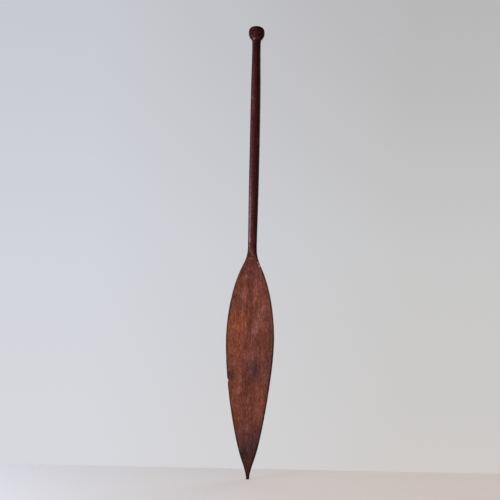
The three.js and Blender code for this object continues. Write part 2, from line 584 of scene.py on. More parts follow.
    def skin(self, levels: np.ndarray) -> np.ndarray:
        """Points of the bare form on every ring.

        Args:
            levels: Height and shrink factor of each ring.

        Returns:
            An array of rings, points round the ring, and x, y, z.
        """
        heights, shrink = levels[:, :1], levels[:, 1:]
        turns = np.arange(ROUND) * (2 * math.pi / ROUND)
        share = np.cos(turns)[None, :]
        half = self.half_width_at(heights)
        depth = self.half_depth_at(heights, half, share)
        side = np.sign(np.round(np.sin(turns), 9))[None, :]
        x = self.centre.at(heights) + half * share * shrink
        y = side * depth * shrink
        return np.stack((x, y, np.broadcast_to(heights, x.shape)), axis=-1)


def outward(skin: np.ndarray) -> np.ndarray:
    """Outward directions of a skin of rings, from each point's neighbours.

    Args:
        skin: Rings of points, from the bottom up.

    Returns:
        A direction of length one for each point.
    """
    around = np.roll(skin, -1, axis=1) - np.roll(skin, 1, axis=1)
    up = np.empty_like(skin)
    up[1:-1] = skin[2:] - skin[:-2]
    up[0], up[-1] = skin[1] - skin[0], skin[-1] - skin[-2]
    return unit(np.cross(around, up))


# Carving


def travelled(steps: np.ndarray) -> np.ndarray:
    """Distance gone before each of the steps, and after the last."""
    return np.concatenate(([0.0], np.cumsum(np.linalg.norm(steps, axis=1))))


class Carving:
    """Everything that the tools and the years took off the bare form."""

    def __init__(self, form: BareForm, lengths: Sequence[Length]) -> None:
        """Lays out the tool cuts of all the lengths.

        Args:
            form: The bare form.
            lengths: The five lengths, lowest first.
        """
        self.form = form
        self.cuts: list[Cut] = []
        for length in lengths:
            self.cuts.extend(self.lay_out(length))
            self.cuts.extend(self.place(gouge) for gouge in length.gouges)
        self.nicks = [nick for length in lengths for nick in length.nicks]
        self.grooves = [groove for length in lengths for groove in length.grooves]

    def lay_out(self, length: Length) -> list[Cut]:
        """Rows of overlapping cuts over one length.

        Args:
            length: The length.

        Returns:
            The cuts.
        """
        marks = length.tool
        draw = np.random.default_rng(marks.seed)
        levels = length.levels()
        skin = self.form.skin(levels)
        normals = outward(skin)
        run = travelled(np.diff(skin[:, 0], axis=0))
        rows = max(1, round(run[-1] / (ROW_STEP * marks.length)))
        cuts: list[Cut] = []
        for row in range(rows):
            ring = int(np.searchsorted(run, (row + draw.uniform(0.2, 0.8)) * run[-1] / rows))
            ring = min(ring, len(levels) - 1)
            travel = travelled(np.roll(skin[ring], -1, axis=0) - skin[ring])
            count = max(1, round(travel[-1] / (CUT_STEP * marks.width)))
            offset = draw.uniform(0.0, 1.0)
            for k in range(count):
                along = (k + offset + draw.uniform(-0.3, 0.3)) % count * travel[-1] / count
                place = int(np.searchsorted(travel, along)) % ROUND
                size = 1.0 + marks.vary * draw.uniform(-1.0, 1.0, 3)
                lean = math.radians(marks.lean * draw.uniform(-1.0, 1.0))
                near = ring + (1 if ring + 1 < len(levels) else -1)
                up = unit((skin[near, place] - skin[ring, place]) * (1 if near > ring else -1))
                normal = normals[ring, place]
                cut = Cut(
                    middle=skin[ring, place],
                    normal=normal,
                    along=unit(math.cos(lean) * up + math.sin(lean) * np.cross(normal, up)),
                    half_width=marks.width * size[0] / 2,
                    half_length=marks.length * size[1] / 2,
                    depth=marks.depth * size[2],
                )
                cuts.append(cut)
        return cuts

    def place(self, gouge: Gouge) -> Cut:
        """One gouge as a cut at its own place on a face.

        Args:
            gouge: The gouge.

        Returns:
            The cut.
        """
        skin = self.form.skin(full_rings(gouge.height + np.array([-1.0, 0.0, 1.0])))
        ring = skin[1]
        facing = ring[:, 1] * gouge.side.value > 0
        place = int(np.argmin(np.where(facing, np.abs(ring[:, 0] - gouge.x), np.inf)))
        lean = math.radians(gouge.lean)
        up = np.array([math.sin(lean), 0.0, math.cos(lean)])
        normal = outward(skin)[1, place]
        return Cut(
            middle=ring[place],
            normal=normal,
            along=unit(up - normal * (up @ normal)),
            half_width=gouge.half_width,
            half_length=gouge.half_length,
            depth=gouge.depth,
        )

    def tooled(self, skin: np.ndarray, normals: np.ndarray) -> np.ndarray:
        """Depth that the tools cut at every point of a skin.

        Args:
            skin: Rings of points.
            normals: The outward directions there.

        Returns:
            The depths, one row for each ring.
        """
        depth = np.zeros(skin.shape[:2])
        heights = skin[:, 0, 2]
        for cut in self.cuts:
            rings = np.nonzero(np.abs(heights - cut.middle[2]) <= cut.reach)[0]
            if len(rings):
                part = slice(rings[0], rings[-1] + 1)
                depth[part] = np.maximum(depth[part], cut.depth_at(skin[part], normals[part]))
        return depth

    def knocked(self, skin: np.ndarray) -> np.ndarray:
        """Sideways shift of the blade's edges at its nicks.

        Args:
            skin: Rings of points.

        Returns:
            The shifts, one row for each ring.
        """
        shift = np.zeros(skin.shape[:2])
        heights = skin[..., 2]
        middle = self.form.centre.at(heights)
        outline = self.form.half_width_at(heights)
        for nick in self.nicks:
            side = nick.edge.value
            along = (heights - nick.height) / (nick.length / 2)
            inside = outline - side * (skin[..., 0] - middle)
            bite = np.maximum(0.0, 1.0 - along**2) * np.clip(1.0 - inside / nick.reach, 0.0, 1.0)
            shift -= side * nick.depth * bite
        return shift

    def carve(self, levels: np.ndarray) -> tuple[np.ndarray, np.ndarray]:
        """Cuts a skin of rings.

        Args:
            levels: Height and shrink factor of each ring.

        Returns:
            The cut skin, and how deep the tools went at each point.
        """
        skin = self.form.skin(levels)
        normals = outward(skin)
        tooled = self.tooled(skin, normals)
        slow = sum(swell.depth_at(skin.reshape(-1, 3)) for swell in SWELLS)
        depth = tooled + np.clip(slow, LEAST_SWELL, None).reshape(skin.shape[:2])
        for groove in self.grooves:
            away = (skin[..., 2] - groove.height) / (groove.width / 2)
            depth += groove.depth * np.maximum(0.0, 1.0 - away**2)
        half = self.form.half_width_at(skin[..., 2]) * levels[:, 1][:, None]
        cut = skin - normals * (depth * np.clip(half / THIN, 0.0, 1.0))[..., None]
        cut[..., 0] += self.knocked(skin)
        cut[..., 2] = np.clip(cut[..., 2], 0.0, self.form.pommel.high)
        return cut, tooled


# Meshes


def finished(bm: bmesh.types.BMesh, name: str) -> bpy.types.Mesh:
    """Turns a shaped blank into a mesh and lets go of the blank.

    Args:
        bm: The blank.
        name: The mesh's name.

    Returns:
        The mesh.
    """
    mesh = bpy.data.meshes.new(name)
    bm.to_mesh(mesh)
    bm.free()
    return mesh


def placed(name: str, data: bpy.types.ID) -> bpy.types.Object:
    """Puts a mesh, a lamp or a camera into the scene.

    Args:
        name: The object's name.
        data: What it shows.

    Returns:
        The object, at the origin.
    """
    item = bpy.data.objects.new(name, data)
    bpy.context.scene.collection.objects.link(item)
    return item


def turned_blank(rings: int) -> bmesh.types.BMesh:
    """A round bar, closed at both ends, ready to be shaped.

    Args:
        rings: How many rings of points it has, its ends included.

    Returns:
        The bar.
    """
    bm = bmesh.new()
    bmesh.ops.create_cone(
        bm, cap_ends=True, cap_tris=False, segments=ROUND, radius1=1, radius2=1, depth=1
    )
    uprights = [e for e in bm.edges if abs(e.verts[0].co.z - e.verts[1].co.z) > 0.5]
    bmesh.ops.subdivide_edges(bm, edges=uprights, cuts=rings - 2)
    return bm


def on_blank(bm: bmesh.types.BMesh, rings: int) -> tuple[np.ndarray, np.ndarray]:
    """Where each vertex of a blank is.

    Args:
        bm: The blank.
        rings: How many rings it has.

    Returns:
        Each vertex's ring number and its place round the ring.
    """
    co = np.array([v.co[:] for v in bm.verts])
    ring = np.rint((co[:, 2] + 0.5) * (rings - 1)).astype(int)
    place = np.rint(np.arctan2(co[:, 1], co[:, 0]) / (2 * math.pi / ROUND)).astype(int) % ROUND
    return ring, place


class CarvedLength:
    """Shapes one length of the paddle as a closed mesh, and dresses it."""

    def __init__(self, length: Length, carving: Carving) -> None:
        """Takes the length and the carving that it is part of."""
        self.length = length
        self.carving = carving

    def guarded_levels(self) -> tuple[np.ndarray, int, int]:
        """The length's rings, with one more beyond each level cut for its shading.

        Returns:
            The levels, and how many were added below and above.
        """
        length = self.length
        levels = length.levels()
        below = int(length.lower_end is End.LEVEL_CUT)
        above = int(length.upper_end is End.LEVEL_CUT)
        if below:
            levels = np.vstack((full_rings([length.low - SEAM_STEP]), levels))
        if above:
            levels = np.vstack((levels, full_rings([length.high + SEAM_STEP])))
        return levels, below, above

    def build(self) -> bpy.types.Object:
        """Makes the mesh, in place and in metres.

        Returns:
            The object, at the origin, with its tool and edge attributes.
        """
        levels, below, above = self.guarded_levels()
        skin, tooled = self.carving.carve(levels)
        own = slice(below, len(levels) - above)
        directions = outward(skin)[own]
        levels, skin, tooled = levels[own], skin[own], tooled[own]
        rings = len(levels)
        if below:
            skin[0, :, 2] = self.length.low
        if above:
            skin[-1, :, 2] = self.length.high
        cuts = [end for end, is_cut in ((0, below), (rings - 1, above)) if is_cut]

        bm = turned_blank(rings)
        ring, place = on_blank(bm, rings)
        for vertex, i, j in zip(bm.verts, ring, place):
            vertex.co = skin[i, j] * MM
        for face in bm.faces:
            face.smooth = True
        for end in cuts:
            self.flatten_end(bm, ring, end)
        bm.normal_update()
        mesh = finished(bm, self.length.name)

        self.carry_shading(mesh, ring, place, directions, cuts)
        form = self.carving.form
        half = form.half_width_at(skin[..., 2]) * levels[:, 1][:, None]
        share = np.abs(skin[..., 0] - form.centre.at(skin[..., 2])) / np.maximum(half, LEAST_HALF)
        inside = half * (1.0 - np.clip(share, 0.0, 1.0))
        self.write(mesh, "tooled", tooled[ring, place])
        self.write(mesh, "inside", inside[ring, place])
        return placed(self.length.name, mesh)

    def dress(self, piece: bpy.types.Object, wood: "CarvedHardwood") -> None:
        """Gives the piece its wood, hangs it from the root and hides its CAD node.

        Args:
            piece: The carved piece.
            wood: The wood that the whole paddle is cut from.
        """
        length = self.length
        piece.data.materials.append(wood.material(length.surface, length.low, length.high))
        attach(piece, "root")
        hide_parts(length.node)

    @staticmethod
    def flatten_end(bm: bmesh.types.BMesh, ring: np.ndarray, end: int) -> None:
        """Shades the level cut at one end flat, with a sharp edge round it.

        Args:
            bm: The shaped blank.
            ring: Ring number of each vertex.
            end: Ring number of the cut.
        """
        on_end = set(np.nonzero(ring == end)[0].tolist())
        for face in bm.faces:
            if len(face.verts) > 4 and face.verts[0].index in on_end:
                face.smooth = False
                for edge in face.edges:
                    edge.smooth = False

    @staticmethod
    def carry_shading(
        mesh: bpy.types.Mesh,
        ring: np.ndarray,
        place: np.ndarray,
        directions: np.ndarray,
        ends: Iterable[int],
    ) -> None:
        """Makes the surface shade without a break across a level cut.

        Args:
            mesh: The finished mesh.
            ring: Ring number of each vertex.
            place: Place round the ring of each vertex.
            directions: Outward directions of the whole carving on the length's rings.
            ends: Ring numbers of the level cuts.
        """
        corners = np.zeros(len(mesh.loops), int)
        mesh.loops.foreach_get("vertex_index", corners)
        sides = np.zeros(len(mesh.loops), bool)
        for polygon in mesh.polygons:
            if polygon.loop_total == 4:
                sides[polygon.loop_start : polygon.loop_start + 4] = True
        normals = np.zeros((len(mesh.loops), 3))
        for end in ends:
            chosen = sides & (ring[corners] == end)
            normals[chosen] = directions[end, place[corners[chosen]]]
        mesh.normals_split_custom_set(normals.tolist())

    @staticmethod
    def write(mesh: bpy.types.Mesh, name: str, values: np.ndarray) -> None:
        """Keeps one number for each vertex as a mesh attribute."""
        attribute = mesh.attributes.new(name=name, type="FLOAT", domain="POINT")
        attribute.data.foreach_set("value", values.astype(np.float32))


# Finishes


def linear(colour: str) -> Colour:
    """An sRGB hex colour as the linear colour that a shader takes.

    Args:
        colour: The colour, such as "#80441e".

    Returns:
        Its red, green and blue, and full cover.
    """
    shares = [int(colour[i : i + 2], 16) / 255 for i in (1, 3, 5)]
    red, green, blue = (
        s / 12.92 if s <= 0.04045 else ((s + 0.055) / 1.055) ** 2.4 for s in shares
    )
    return red, green, blue, 1.0


# Settings that several nodes share
EASED = {"interpolation_type": "SMOOTHSTEP"}
LAID = {"output": 2, "data_type": "RGBA"}
SHADED = {**LAID, "blend_type": "MULTIPLY"}


class Bench:
    """A node tree being laid out."""

    def __init__(self, owner: bpy.types.Material | bpy.types.World) -> None:
        """Gives a material or a world an empty tree.

        Args:
            owner: The material or the world.
        """
        owner.use_nodes = True
        self.tree = owner.node_tree
        self.tree.nodes.clear()

    def add(
        self,
        kind: str,
        inputs: dict[str | int, object] | None = None,
        output: str | int = 0,
        stops: Sequence[tuple[float, str]] = (),
        **settings: object,
    ) -> Socket | None:
        """Adds one node with its settings and links.

        Args:
            kind: The node's type, without the words that all of them begin with.
            inputs: A value or an output socket for each named or numbered input.
            output: The output that is wanted.
            stops: Places and hex colours, on a colour ramp.
            settings: Properties of the node.

        Returns:
            The wanted output socket, if the node has outputs.
        """
        node = self.tree.nodes.new(f"ShaderNode{kind}")
        for key, value in settings.items():
            setattr(node, key, value)
        if stops:
            elements = node.color_ramp.elements
            elements[0].position, elements[0].color = stops[0][0], linear(stops[0][1])
            elements[1].position, elements[1].color = stops[-1][0], linear(stops[-1][1])
            for position, colour in stops[1:-1]:
                elements.new(position).color = linear(colour)
        for key, value in (inputs or {}).items():
            socket = node.inputs[key]
            if isinstance(value, Socket):
                self.tree.links.new(value, socket)
            else:
                socket.default_value = value
        return node.outputs[output] if node.outputs else None


@dataclass(frozen=True)
class Patch:
    """A stain, a worn place or a streak in the wood, or a painted shade or highlight.

    Args:
        name: What it is.
        x: Its middle, across the paddle.
        height: Its middle, up the paddle.
        half_width: How far it reaches across.
        half_length: How far it reaches along.
        tone: Its tone.
        strength: How much of its tone shows at its middle.
        lean: How many degrees its upper end turns to the right.
        soft: Share of its reach over which it fades.
    """

    name: str
    x: float
    height: float
    half_width: float
    half_length: float
    tone: Tone
    strength: float
    lean: float = 0.0
    soft: float = 1.0

    def reaches(self, low: float, high: float) -> bool:
        """Whether it shows between two heights, its ragged ends included.

        Args:
            low: The lower height.
            high: The upper height.

        Returns:
            True where any of it can show.
        """
        reach = self.half_length + self.half_width * abs(math.sin(math.radians(self.lean)))
        reach *= 1 + self.soft / 2
        return low - RAGGED < self.height + reach and self.height - reach < high + RAGGED

    def laid(
        self, bench: Bench, under: Socket, place: Socket, on_side: Socket, share: float
    ) -> Socket:
        """Lays the patch over the colour so far.

        Args:
            bench: The tree.
            under: The colour so far.
            place: The places, in millimetres, shifted about where its edge is ragged.
            on_side: How far each place is on the patch's face.
            share: Share of the patch's own strength.

        Returns:
            The new colour.
        """
        add = bench.add
        if self.lean:
            turn = {"Center": (self.x, 0, self.height), "Angle": -math.radians(self.lean)}
            place = add("VectorRotate", {"Vector": place, **turn}, rotation_type="Y_AXIS")
        scale = (1 / self.half_width, 0, 1 / self.half_length)
        middle = (-self.x * scale[0], 0, -self.height * scale[2])
        near = add("VectorMath", {0: place, 1: scale, 2: middle}, operation="MULTIPLY_ADD")
        reach = add("VectorMath", {0: near}, output="Value", operation="LENGTH")
        fade = {0: reach, 1: 1 + self.soft / 2, 2: 1 - self.soft / 2, 4: self.strength * share}
        amount = add("MapRange", fade, label=self.name, **EASED)
        shown = add("Math", {0: amount, 1: on_side}, operation="MULTIPLY")
        return add("Mix", {0: shown, 6: under, 7: linear(self.tone.value)}, **LAID)


@dataclass(frozen=True)
class Grade:
    """A quality of the wood that changes up the paddle, and never at a cut.

    Args:
        blade: Its value on the weathered blade.
        shaft: Its value on the handled shaft.
        knob: Its value on the knob.
    """

    blade: float
    shaft: float
    knob: float

    def at(self, bench: Bench, height: Socket) -> Socket:
        """The value at a height, as a socket.

        Args:
            bench: The tree.
            height: The height.

        Returns:
            The value.
        """
        value: float | Socket = self.blade
        for (low, high), then in ((SHOULDER_TO_SHAFT, self.shaft), (SHAFT_TO_KNOB, self.knob)):
            value = bench.add("MapRange", {0: height, 1: low, 2: high, 3: value, 4: then}, **EASED)
        return value


@dataclass(frozen=True)
class Figure:
    """A smooth noise for one feature of the wood, about a half on average.

    Args:
        across: The feature's size across the grain.
        along: Its size along the grain.
        detail: How many finer noises are in it.
    """

    across: float
    along: float
    detail: float

    def at(self, bench: Bench, place: Socket) -> Socket:
        """The noise at a place.

        Args:
            bench: The tree.
            place: The place, in millimetres.

        Returns:
            The noise.
        """
        scale = (1 / self.across, 1 / self.across, 1 / self.along)
        scaled = bench.add("Mapping", {0: place, "Scale": scale})
        noisy = {0: scaled, "Scale": 1, "Detail": self.detail, "Roughness": 0.55}
        return bench.add("TexNoise", noisy)


@dataclass(frozen=True)
class Drift:
    """A smooth noise that shifts places about.

    Args:
        periods: Distances over which the shift changes.
        reach: The shift's size.
        share: Its share along each axis.
    """

    periods: Triple
    reach: float
    share: Triple

    def of(self, bench: Bench, place: Socket) -> Socket:
        """A place, shifted.

        Args:
            bench: The tree.
            place: The place, in millimetres.

        Returns:
            Where it goes.
        """
        scaled = bench.add("Mapping", {0: place, "Scale": tuple(1 / p for p in self.periods)})
        noisy = {0: scaled, "Scale": 1, "Detail": 2, "Roughness": 0.5}
        drift = bench.add("TexNoise", noisy, output=1)
        centred = bench.add("VectorMath", {0: drift, 1: (0.5, 0.5, 0.5)}, operation="SUBTRACT")
        size = tuple(2 * self.reach * s for s in self.share)
        return bench.add("VectorMath", {0: centred, 1: size, 2: place}, operation="MULTIPLY_ADD")


@dataclass(frozen=True)
class CarvedHardwood:
    """Oiled dark tropical hardwood, carved with steel and worn by hands and weather.

    The interlocked fibres catch the eye as broken flecks, wider than the grain's lines and
    much shorter. Real pores are 0.2 mm wide and real fibre lines under 1 mm, too fine for
    the picture, so both are drawn as coarse as they need to show.

    Args:
        top: Height of the wood's upper end.
        tones: Ground colour at heights up the paddle.
        front_stains_and_painted_light: Patches in the wood of the front, under the grain and the
            rim: stains, and some painted shade, highlights and reflections.
        back_stains_and_painted_light: The same on the back.
        front_chips_and_highlights: Patches of the front over everything else: chips through the
            dark surface, and painted highlights and glints.
        roughness: How matt it is.
        streak: How strongly the grain's long streaks show.
        mottle: How strongly the tone wanders.
        fleck: How strongly the broken figure shows.
        relief: Height of the grain's relief.
        ripple: How far the scraper's cross ripples go from smooth to dull.
        rim: How dark the handled edge is.
        rim_reach: How far in the rim begins to darken, and where it is darkest.
        stain: How strongly the stains show, and the painted shade and highlights among them.
        filled: How dark the dirt in the pores is.
        turned: Distance before and behind the middle over which a face gives out.
        gloss: How strongly the surface mirrors.
        ior: Its index of refraction, that of oil and hard wax.
        wander: How the grain's lines stray over a hand's breadth.
        raggedness: What makes a stain's edge uneven, coarse and fine.
        broad: The wide streaks.
        fine: The narrow ones.
        broken: The flecks.
        pore: The pores.
        cloud: The slow changes of tone.
        chatter: The ripples that the scraper left.
    """

    top: float
    tones: tuple[tuple[float, str], ...]
    front_stains_and_painted_light: tuple[Patch, ...]
    back_stains_and_painted_light: tuple[Patch, ...]
    front_chips_and_highlights: tuple[Patch, ...]
    roughness: Grade = Grade(0.5, 0.32, 1.0)
    streak: Grade = Grade(0.6, 0.3, 0.6)
    mottle: Grade = Grade(0.4, 0.3, 0.6)
    # On the knob the flecks are made stronger, partly as painted glints on its facets
    fleck: Grade = Grade(1.0, 0.5, 1.2)
    relief: Grade = Grade(0.14, 0.09, 0.1)
    ripple: Grade = Grade(0.0, 0.2, 0.0)
    rim: Grade = Grade(0.92, 0.0, 0.0)
    rim_reach: tuple[float, float] = (9.0, 0.5)
    stain: float = 0.8
    filled: float = 0.5
    turned: float = 3.0
    gloss: float = 0.25
    ior: float = 1.5
    wander: Drift = Drift((70, 70, 210), 9.0, (1, 1, 0))
    raggedness: tuple[Drift, ...] = (
        Drift((13, 13, 34), 4.5, (0.7, 0.7, 2)),
        Drift((2.6, 2.6, 16), 3.0, (0.3, 0.3, 2.6)),
    )
    broad: Figure = Figure(5.0, 60.0, 3.0)
    fine: Figure = Figure(2.3, 17.0, 4.0)
    broken: Figure = Figure(3.2, 10.0, 2.5)
    pore: Figure = Figure(0.8, 9.0, 2.0)
    cloud: Figure = Figure(17.0, 34.0, 3.0)
    chatter: Figure = Figure(14.0, 4.5, 2.0)

    def material(self, name: str, low: float, high: float) -> bpy.types.Material:
        """Lays out the wood for one length.

        Args:
            name: Material name.
            low: Height of the length's lower end.
            high: Height of its upper end.

        Returns:
            The material.
        """
        material = bpy.data.materials.new(name)
        bench = Bench(material)
        add = bench.add
        here = add("TexCoord", output="Object")
        place = add("VectorMath", {0: here, "Scale": 1 / MM}, operation="SCALE")
        height = add("SeparateXYZ", {0: place}, output="Z")
        depth = add("SeparateXYZ", {0: place}, output="Y")
        wandering = self.wander.of(bench, place)
        broad, fine, broken, pore, chatter = (
            figure.at(bench, wandering)
            for figure in (self.broad, self.fine, self.broken, self.pore, self.chatter)
        )
        pores = add("MapRange", {0: pore, 1: 0.6, 2: 0.72})  # the noise's few highest places

        # Ground colour up the paddle, then every stain, painted shade and painted highlight over it
        share = add("MapRange", {0: height, 1: 0.0, 2: self.top})
        stops = [(level / self.top, colour) for level, colour in self.tones]
        colour = add("ValToRGB", {0: share}, stops=stops)
        ragged = place
        for drift in self.raggedness:
            ragged = drift.of(bench, ragged)
        on_front, on_back = (
            add("MapRange", {0: depth, 1: -self.turned * side.value, 2: self.turned * side.value})
            for side in (Side.FRONT, Side.BACK)
        )
        for stains, on_side in ((self.front_stains_and_painted_light, on_front), (self.back_stains_and_painted_light, on_back)):
            for patch in stains:
                if patch.reaches(low, high):
                    colour = patch.laid(bench, colour, ragged, on_side, self.stain)

        # Slow changes of tone between worn orange and lilac-brown, then the flecks and lines
        cloudy = self.cloud.at(bench, ragged)
        streak = self.streak.at(bench, height)
        for veil, strength, light, dark in (
            (cloudy, self.mottle.at(bench, height), (1.22, 1.1, 0.88), (0.78, 0.78, 0.94)),
            (broken, self.fleck.at(bench, height), (1.45, 1.75, 2.0), (0.72, 0.56, 0.5)),
            (broad, streak, (1.4, 1.58, 1.72), (0.7, 0.58, 0.54)),
            (fine, streak, (1.4, 1.65, 1.85), (0.68, 0.54, 0.5)),
        ):
            for crest, tint in ((0.72, light), (0.28, dark)):
                shown = add("MapRange", {0: veil, 1: 0.5, 2: crest, 4: strength})
                colour = add("Mix", {0: shown, 6: colour, 7: (*tint, 1)}, **SHADED)
        filled = add("Math", {0: pores, 1: self.filled}, operation="MULTIPLY")
        colour = add("Mix", {0: filled, 6: colour, 7: linear(PORE_DIRT)}, **LAID)

        # Dirt in the tool cuts, a dark handled edge round the blade that wanders by 2 mm each
        # way, and fresh chips, painted highlights and glints
        tooled = add("Attribute", output="Fac", attribute_name="tooled")
        hollow = add("MapRange", {0: tooled, 1: 0.1, 2: 0.5, 4: 0.3})
        colour = add("Mix", {0: hollow, 6: colour, 7: (0.5, 0.45, 0.45, 1)}, **SHADED)
        inside = add("Attribute", output="Fac", attribute_name="inside")
        uneven = add("Math", {0: cloudy, 1: 4.0, 2: -2.0}, operation="MULTIPLY_ADD")
        from_edge = add("Math", {0: inside, 1: uneven}, operation="ADD")
        begins, darkest = self.rim_reach
        handled = {0: from_edge, 1: begins, 2: darkest, 4: self.rim.at(bench, height)}
        rim = add("MapRange", handled, **EASED)
        colour = add("Mix", {0: rim, 6: colour, 7: linear(RIM_DIRT)}, **LAID)
        for patch in self.front_chips_and_highlights:
            if patch.reaches(low, high):
                colour = patch.laid(bench, colour, place, on_front, 1.0)

        # The rim is dry. A scraper drawn along the shaft chattered, and hands polished the
        # crests that it left, not the hollows.
        fibres = add("MapRange", {0: broken, 1: 0.25, 2: 0.75, 3: -0.08, 4: 0.08})
        worn = add("Math", {0: self.roughness.at(bench, height), 1: fibres}, operation="ADD")
        matt = add("Math", {0: rim, 1: 0.4, 2: worn}, operation="MULTIPLY_ADD")
        crests = add("Math", {0: chatter, 1: 6.0, 2: -3.0}, operation="MULTIPLY_ADD")
        ripple = self.ripple.at(bench, height)
        matt = add("Math", {0: crests, 1: ripple, 2: matt}, operation="MULTIPLY_ADD")

        ridge = add("Math", {0: broken, 1: 2.0, 2: broad}, operation="MULTIPLY_ADD")
        ridge = add("Math", {0: ridge, 1: fine}, operation="ADD")
        ridge = add("Math", {0: ridge, 1: pores}, operation="SUBTRACT")
        ridge = add("Math", {0: self.relief.at(bench, height), 1: ridge}, operation="MULTIPLY")
        surface = {
            "Base Color": colour,
            "Roughness": matt,
            "IOR": self.ior,
            "Specular IOR Level": self.gloss,
            "Normal": add("Bump", {"Height": ridge, "Distance": MM, "Strength": 1.0}),
        }
        add("OutputMaterial", {"Surface": add("BsdfPrincipled", surface)})
        return material


# Ground colour of the wood up the whole paddle
GROUND: tuple[tuple[float, str], ...] = (
    (0, "#3a160f"),
    (60, "#40201a"),
    (110, "#4a2922"),
    (160, "#603429"),
    (260, "#6a3727"),
    (345, "#63362a"),
    (420, "#6c3928"),
    (560, "#6f3b2a"),
    (660, "#673528"),
    (718, "#5a2c21"),
    (725, "#4e2414"),
    (748, "#461f12"),
    (775, "#401b12"),
    (850, "#3e1912"),
    (1000, "#3a1611"),
    (1250, "#381310"),
    (1423, "#330f0c"),
    (1460, "#360b08"),
    (1486, "#310b08"),
    (1493, "#1d0e0a"),
    (1500, "#281612"),
)
